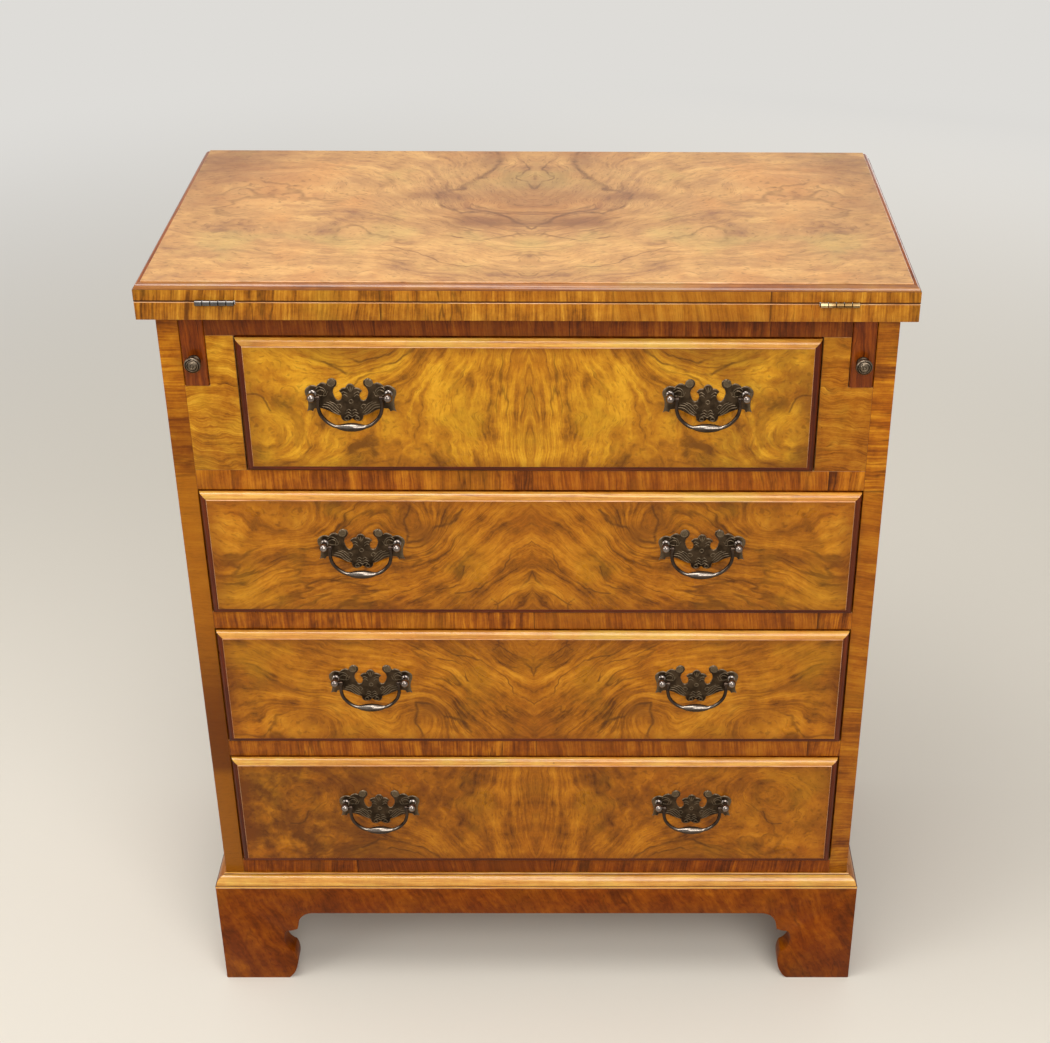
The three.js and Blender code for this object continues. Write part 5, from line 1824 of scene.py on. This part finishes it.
def old_brass(name, dark, middle, light, roughness):
    """Toned brass: nearly black in its hollows, and lighter where hands have rubbed it and where a
    painted highlight lies
    """
    finish, tree, shader = new_finish(name, roughness, metallic=1.0)
    place = place_from(tree, "XZY")[2]
    wear_and_highlight = add(tree, "ShaderNodeAttribute", {}, attribute_name="wear_and_highlight").outputs["Fac"]
    cloud = noise(tree, place, 11.0, detail=4.0, roughness=0.6)
    grit = noise(tree, place, 90.0, detail=2.0)
    colour = mixed(tree, rising(tree, cloud, 0.34, 0.66), shade(*dark), shade(*middle))
    rubbed_and_lit = calc(tree, "MULTIPLY", wear_and_highlight, rising(tree, grit, 0.25, 0.6, 0.45, 1.0))
    tree.links.new(mixed(tree, rubbed_and_lit, colour, shade(*light)), shader.inputs["Base Color"])
    roughened(tree, shader, cloud, spread=0.16)
    bumped(tree, shader, grit, strength=0.1, distance=0.1 * MM)
    return finish


PLATE_BRASS = old_brass("plate_brass", (48, 38, 28), (74, 60, 45), (156, 136, 108), 0.38)
POST_BRASS = old_brass("post_brass", (112, 100, 92), (142, 132, 124), (150, 138, 126), 0.1)
# The bail's light tone is the colour of the painted highlight on its grip.
BAIL_BRASS = old_brass("bail_brass", (38, 28, 22), (62, 48, 38), (206, 192, 176), 0.14)

ball_start = POST_SPACING / 2 - BALL_RADIUS
bore_rows = [(BORE_RADIUS, ball_start - OVERRUN), (BORE_RADIUS, ball_start + BORE_DEPTH)]
posts, bores = [], []
for side in SIDES.values():
    posts.append(turned_solid(post_rows(), forward(side * POST_SPACING / 2)))
    bores.append(turned_solid(bore_rows, along_swing(side), steps=BORE_STEPS))
posts = finished(together(*posts), "posts", [POST_BRASS])
posts = carved(posts, [finished(together(*bores), "bores", [])])
plate_form = smoothed(worked(finished(chased_plate(), "plate_form", [PLATE_BRASS]), posts))


def copied(form, name, place):
    """A piece of its own from a form's mesh, set at a place"""
    mesh = form.data.copy()
    mesh.transform(Matrix.Translation(place))
    return shown(name, mesh)


handle_places = {}
for number in DRAWERS:
    body = f"drawer_{number}"
    front_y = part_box(body + "_front")[0].y
    for side in SIDES:
        node = f"{body}_plate_{side}"
        low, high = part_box(node)
        place = Vector(((low.x + high.x) / 2, front_y, low.z + PLATE_DROP * MM))
        handle_places[number, side] = place
        fit(copied(plate_form, node + "_brass", place), body, node)
bpy.data.objects.remove(plate_form)

# Bails. Cast rods with a swollen grip, bent round to an eye at each end. A pin through each
# eye turns in the post's ball.
BAIL_RADIUS = 1.6 * MM
EYE_CLEAR = 0.4 * MM
EYE_RADIUS = 2.3 * MM
PIN_THICK = 1.3 * MM
PIN_REACH = 2.6 * MM
BAIL_DROP = 27.4 * MM
GRIP_RADIUS = 3.8 * MM
GRIP_HALF = 12 * MM
BAIL_STEPS = 10
BAIL_SIDES = 20
PIN_CHAMFER = 0.3 * MM
# How strong the painted highlight on the bail is, at least and at most, and from how far down the
# bail it starts, as a share of its drop
BAIL_HIGHLIGHT_LEAST = 0.03
BAIL_HIGHLIGHT_MOST = 0.75
BAIL_HIGHLIGHT_FROM = 0.75
BAIL_SHARES = [(1, 0), (1.02, -0.29), (0.94, -0.6), (0.71, -0.86), (0.435, -0.985)]

swelling_rod, given, result = new_growth(
    "swelling_rod", {"Thickness": "Float", "Sides": "Int", "Finish": "Material"}
)
path = add(swelling_rod, "GeometryNodeMeshToCurve", {"Mesh": given["Geometry"]}).outputs[0]
swell = add(
    swelling_rod, "GeometryNodeInputNamedAttribute", {"Name": "swell"}, data_type="FLOAT"
).outputs[0]
section = add(swelling_rod, "GeometryNodeCurvePrimitiveCircle", {
    "Resolution": given["Sides"], "Radius": given["Thickness"],
}).outputs[0]
rod = add(swelling_rod, "GeometryNodeCurveToMesh", {
    "Curve": path, "Profile Curve": section, "Scale": swell, "Fill Caps": True,
}).outputs[0]
end_growth(swelling_rod, rod, given, result)

arm_x = ball_start - EYE_CLEAR - BAIL_RADIUS
half_route = [(a * arm_x, b * BAIL_DROP) for a, b in BAIL_SHARES]
whole_route = half_route + [(0.0, -BAIL_DROP)] + mirror(half_route)[::-1]
route = smooth_route(whole_route, BAIL_STEPS)
seed_rod = seed_piece(
    "bail_form", [(x, -POST_REACH, z) for x, z in route],
    [(i, i + 1) for i in range(len(route) - 1)],
)
swells = seed_rod.data.attributes.new("swell", "FLOAT", "POINT")
for i, (x, z) in enumerate(route):
    grip = max(0.0, 1 - (x / GRIP_HALF) ** 2) if z < -BAIL_DROP / 2 else 0.0
    swells.data[i].value = 1 + (GRIP_RADIUS / BAIL_RADIUS - 1) * grip
bail_form = grown(seed_rod, swelling_rod, {
    "Thickness": BAIL_RADIUS, "Sides": BAIL_SIDES, "Finish": BAIL_BRASS,
})
pin_end = EYE_CLEAR + BAIL_RADIUS + PIN_REACH
eye_rows = [
    (0.0, -BAIL_RADIUS), (0.8 * EYE_RADIUS, -BAIL_RADIUS), (EYE_RADIUS, -0.7 * BAIL_RADIUS),
    (EYE_RADIUS, 0.7 * BAIL_RADIUS), (0.8 * EYE_RADIUS, BAIL_RADIUS), (PIN_THICK, BAIL_RADIUS),
    (PIN_THICK, pin_end - PIN_CHAMFER), (0.75 * PIN_THICK, pin_end), (0.0, pin_end),
]
eyes = [turned_solid(eye_rows, along_swing(side, arm_x), BAIL_SIDES) for side in SIDES.values()]
bail_form = smoothed(merged(bail_form, finished(together(*eyes), "eyes", [BAIL_BRASS])))
# A painted highlight. The grip's faces that look up are lightened, most towards the bottom of the
# bail.
bail_highlight = bail_form.data.attributes.new("wear_and_highlight", "FLOAT", "POINT")
for vert in bail_form.data.vertices:
    low_share = (-vert.co.z / BAIL_DROP - BAIL_HIGHLIGHT_FROM) / (1 - BAIL_HIGHLIGHT_FROM)
    amount = BAIL_HIGHLIGHT_MOST * min(1.0, max(0.0, low_share)) * max(0.0, vert.normal.z)
    bail_highlight.data[vert.index].value = BAIL_HIGHLIGHT_LEAST + amount
for (number, side), place in handle_places.items():
    body = f"drawer_{number}_bail_{side}"
    fit(copied(bail_form, body + "_brass", place), body, body)
bpy.data.objects.remove(bail_form)

# Loper knobs. Small pulls of toned brass, turned with rings on their faces. The foot of each
# is let into the front of its loper and screwed there.
KNOB_REACH = 12 * MM
KNOB_RADIUS = 7.2 * MM
KNOB_RISE = 23.6 * MM
KNOB_SINK = 2 * MM
KNOB_WORN = 0.55
KNOB_WORN_FROM = 0.75
KNOB_GROOVES = [0.80, 0.56, 0.18]
KNOB_GROOVE_HALF = 0.02

# The knob's outline from the loper out, as shares of its radius and its reach
KNOB_ROWS = [
    (0.75, 0.0), (0.78, 0.05), (0.74, 0.11), (0.55, 0.17), (0.48, 0.24), (0.47, 0.34),
    (0.54, 0.44), (0.75, 0.54), (0.93, 0.61), (1.0, 0.68), (0.99, 0.75), (0.93, 0.81),
    (0.85, 0.85), (0.80, 0.80), (0.76, 0.83), (0.70, 0.90), (0.62, 0.92), (0.56, 0.88),
    (0.51, 0.90), (0.44, 0.96), (0.24, 0.97), (0.18, 0.93), (0.13, 0.97), (0.0, 1.0),
]
KNOB_BRASS = old_brass("knob_brass", (48, 38, 30), (72, 59, 46), (146, 130, 110), 0.3)
knob_rows = [(0.0, -KNOB_SINK), (KNOB_ROWS[0][0] * KNOB_RADIUS, -KNOB_SINK)]
knob_rows += [(a * KNOB_RADIUS, b * KNOB_REACH) for a, b in KNOB_ROWS]
knob_z = slot_floor + KNOB_RISE
for name in SIDES:
    node = "loper_" + name
    low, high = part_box(node)
    knob_x = (low.x + high.x) / 2
    work = turned_solid(knob_rows, forward(knob_x, loper_front, knob_z))
    wear_and_highlight_layer = work.verts.layers.float.new("wear_and_highlight")
    for vert in work.verts:
        from_axis = math.dist((vert.co.x, vert.co.z), (knob_x, knob_z)) / KNOB_RADIUS
        grooved = min(abs(from_axis - groove) for groove in KNOB_GROOVES) < KNOB_GROOVE_HALF
        face = loper_front - vert.co.y > KNOB_WORN_FROM * KNOB_REACH
        vert[wear_and_highlight_layer] = KNOB_WORN if face and not grooved else 0.0
    fit(finished(work, node + "_knob", [KNOB_BRASS]), node, node)
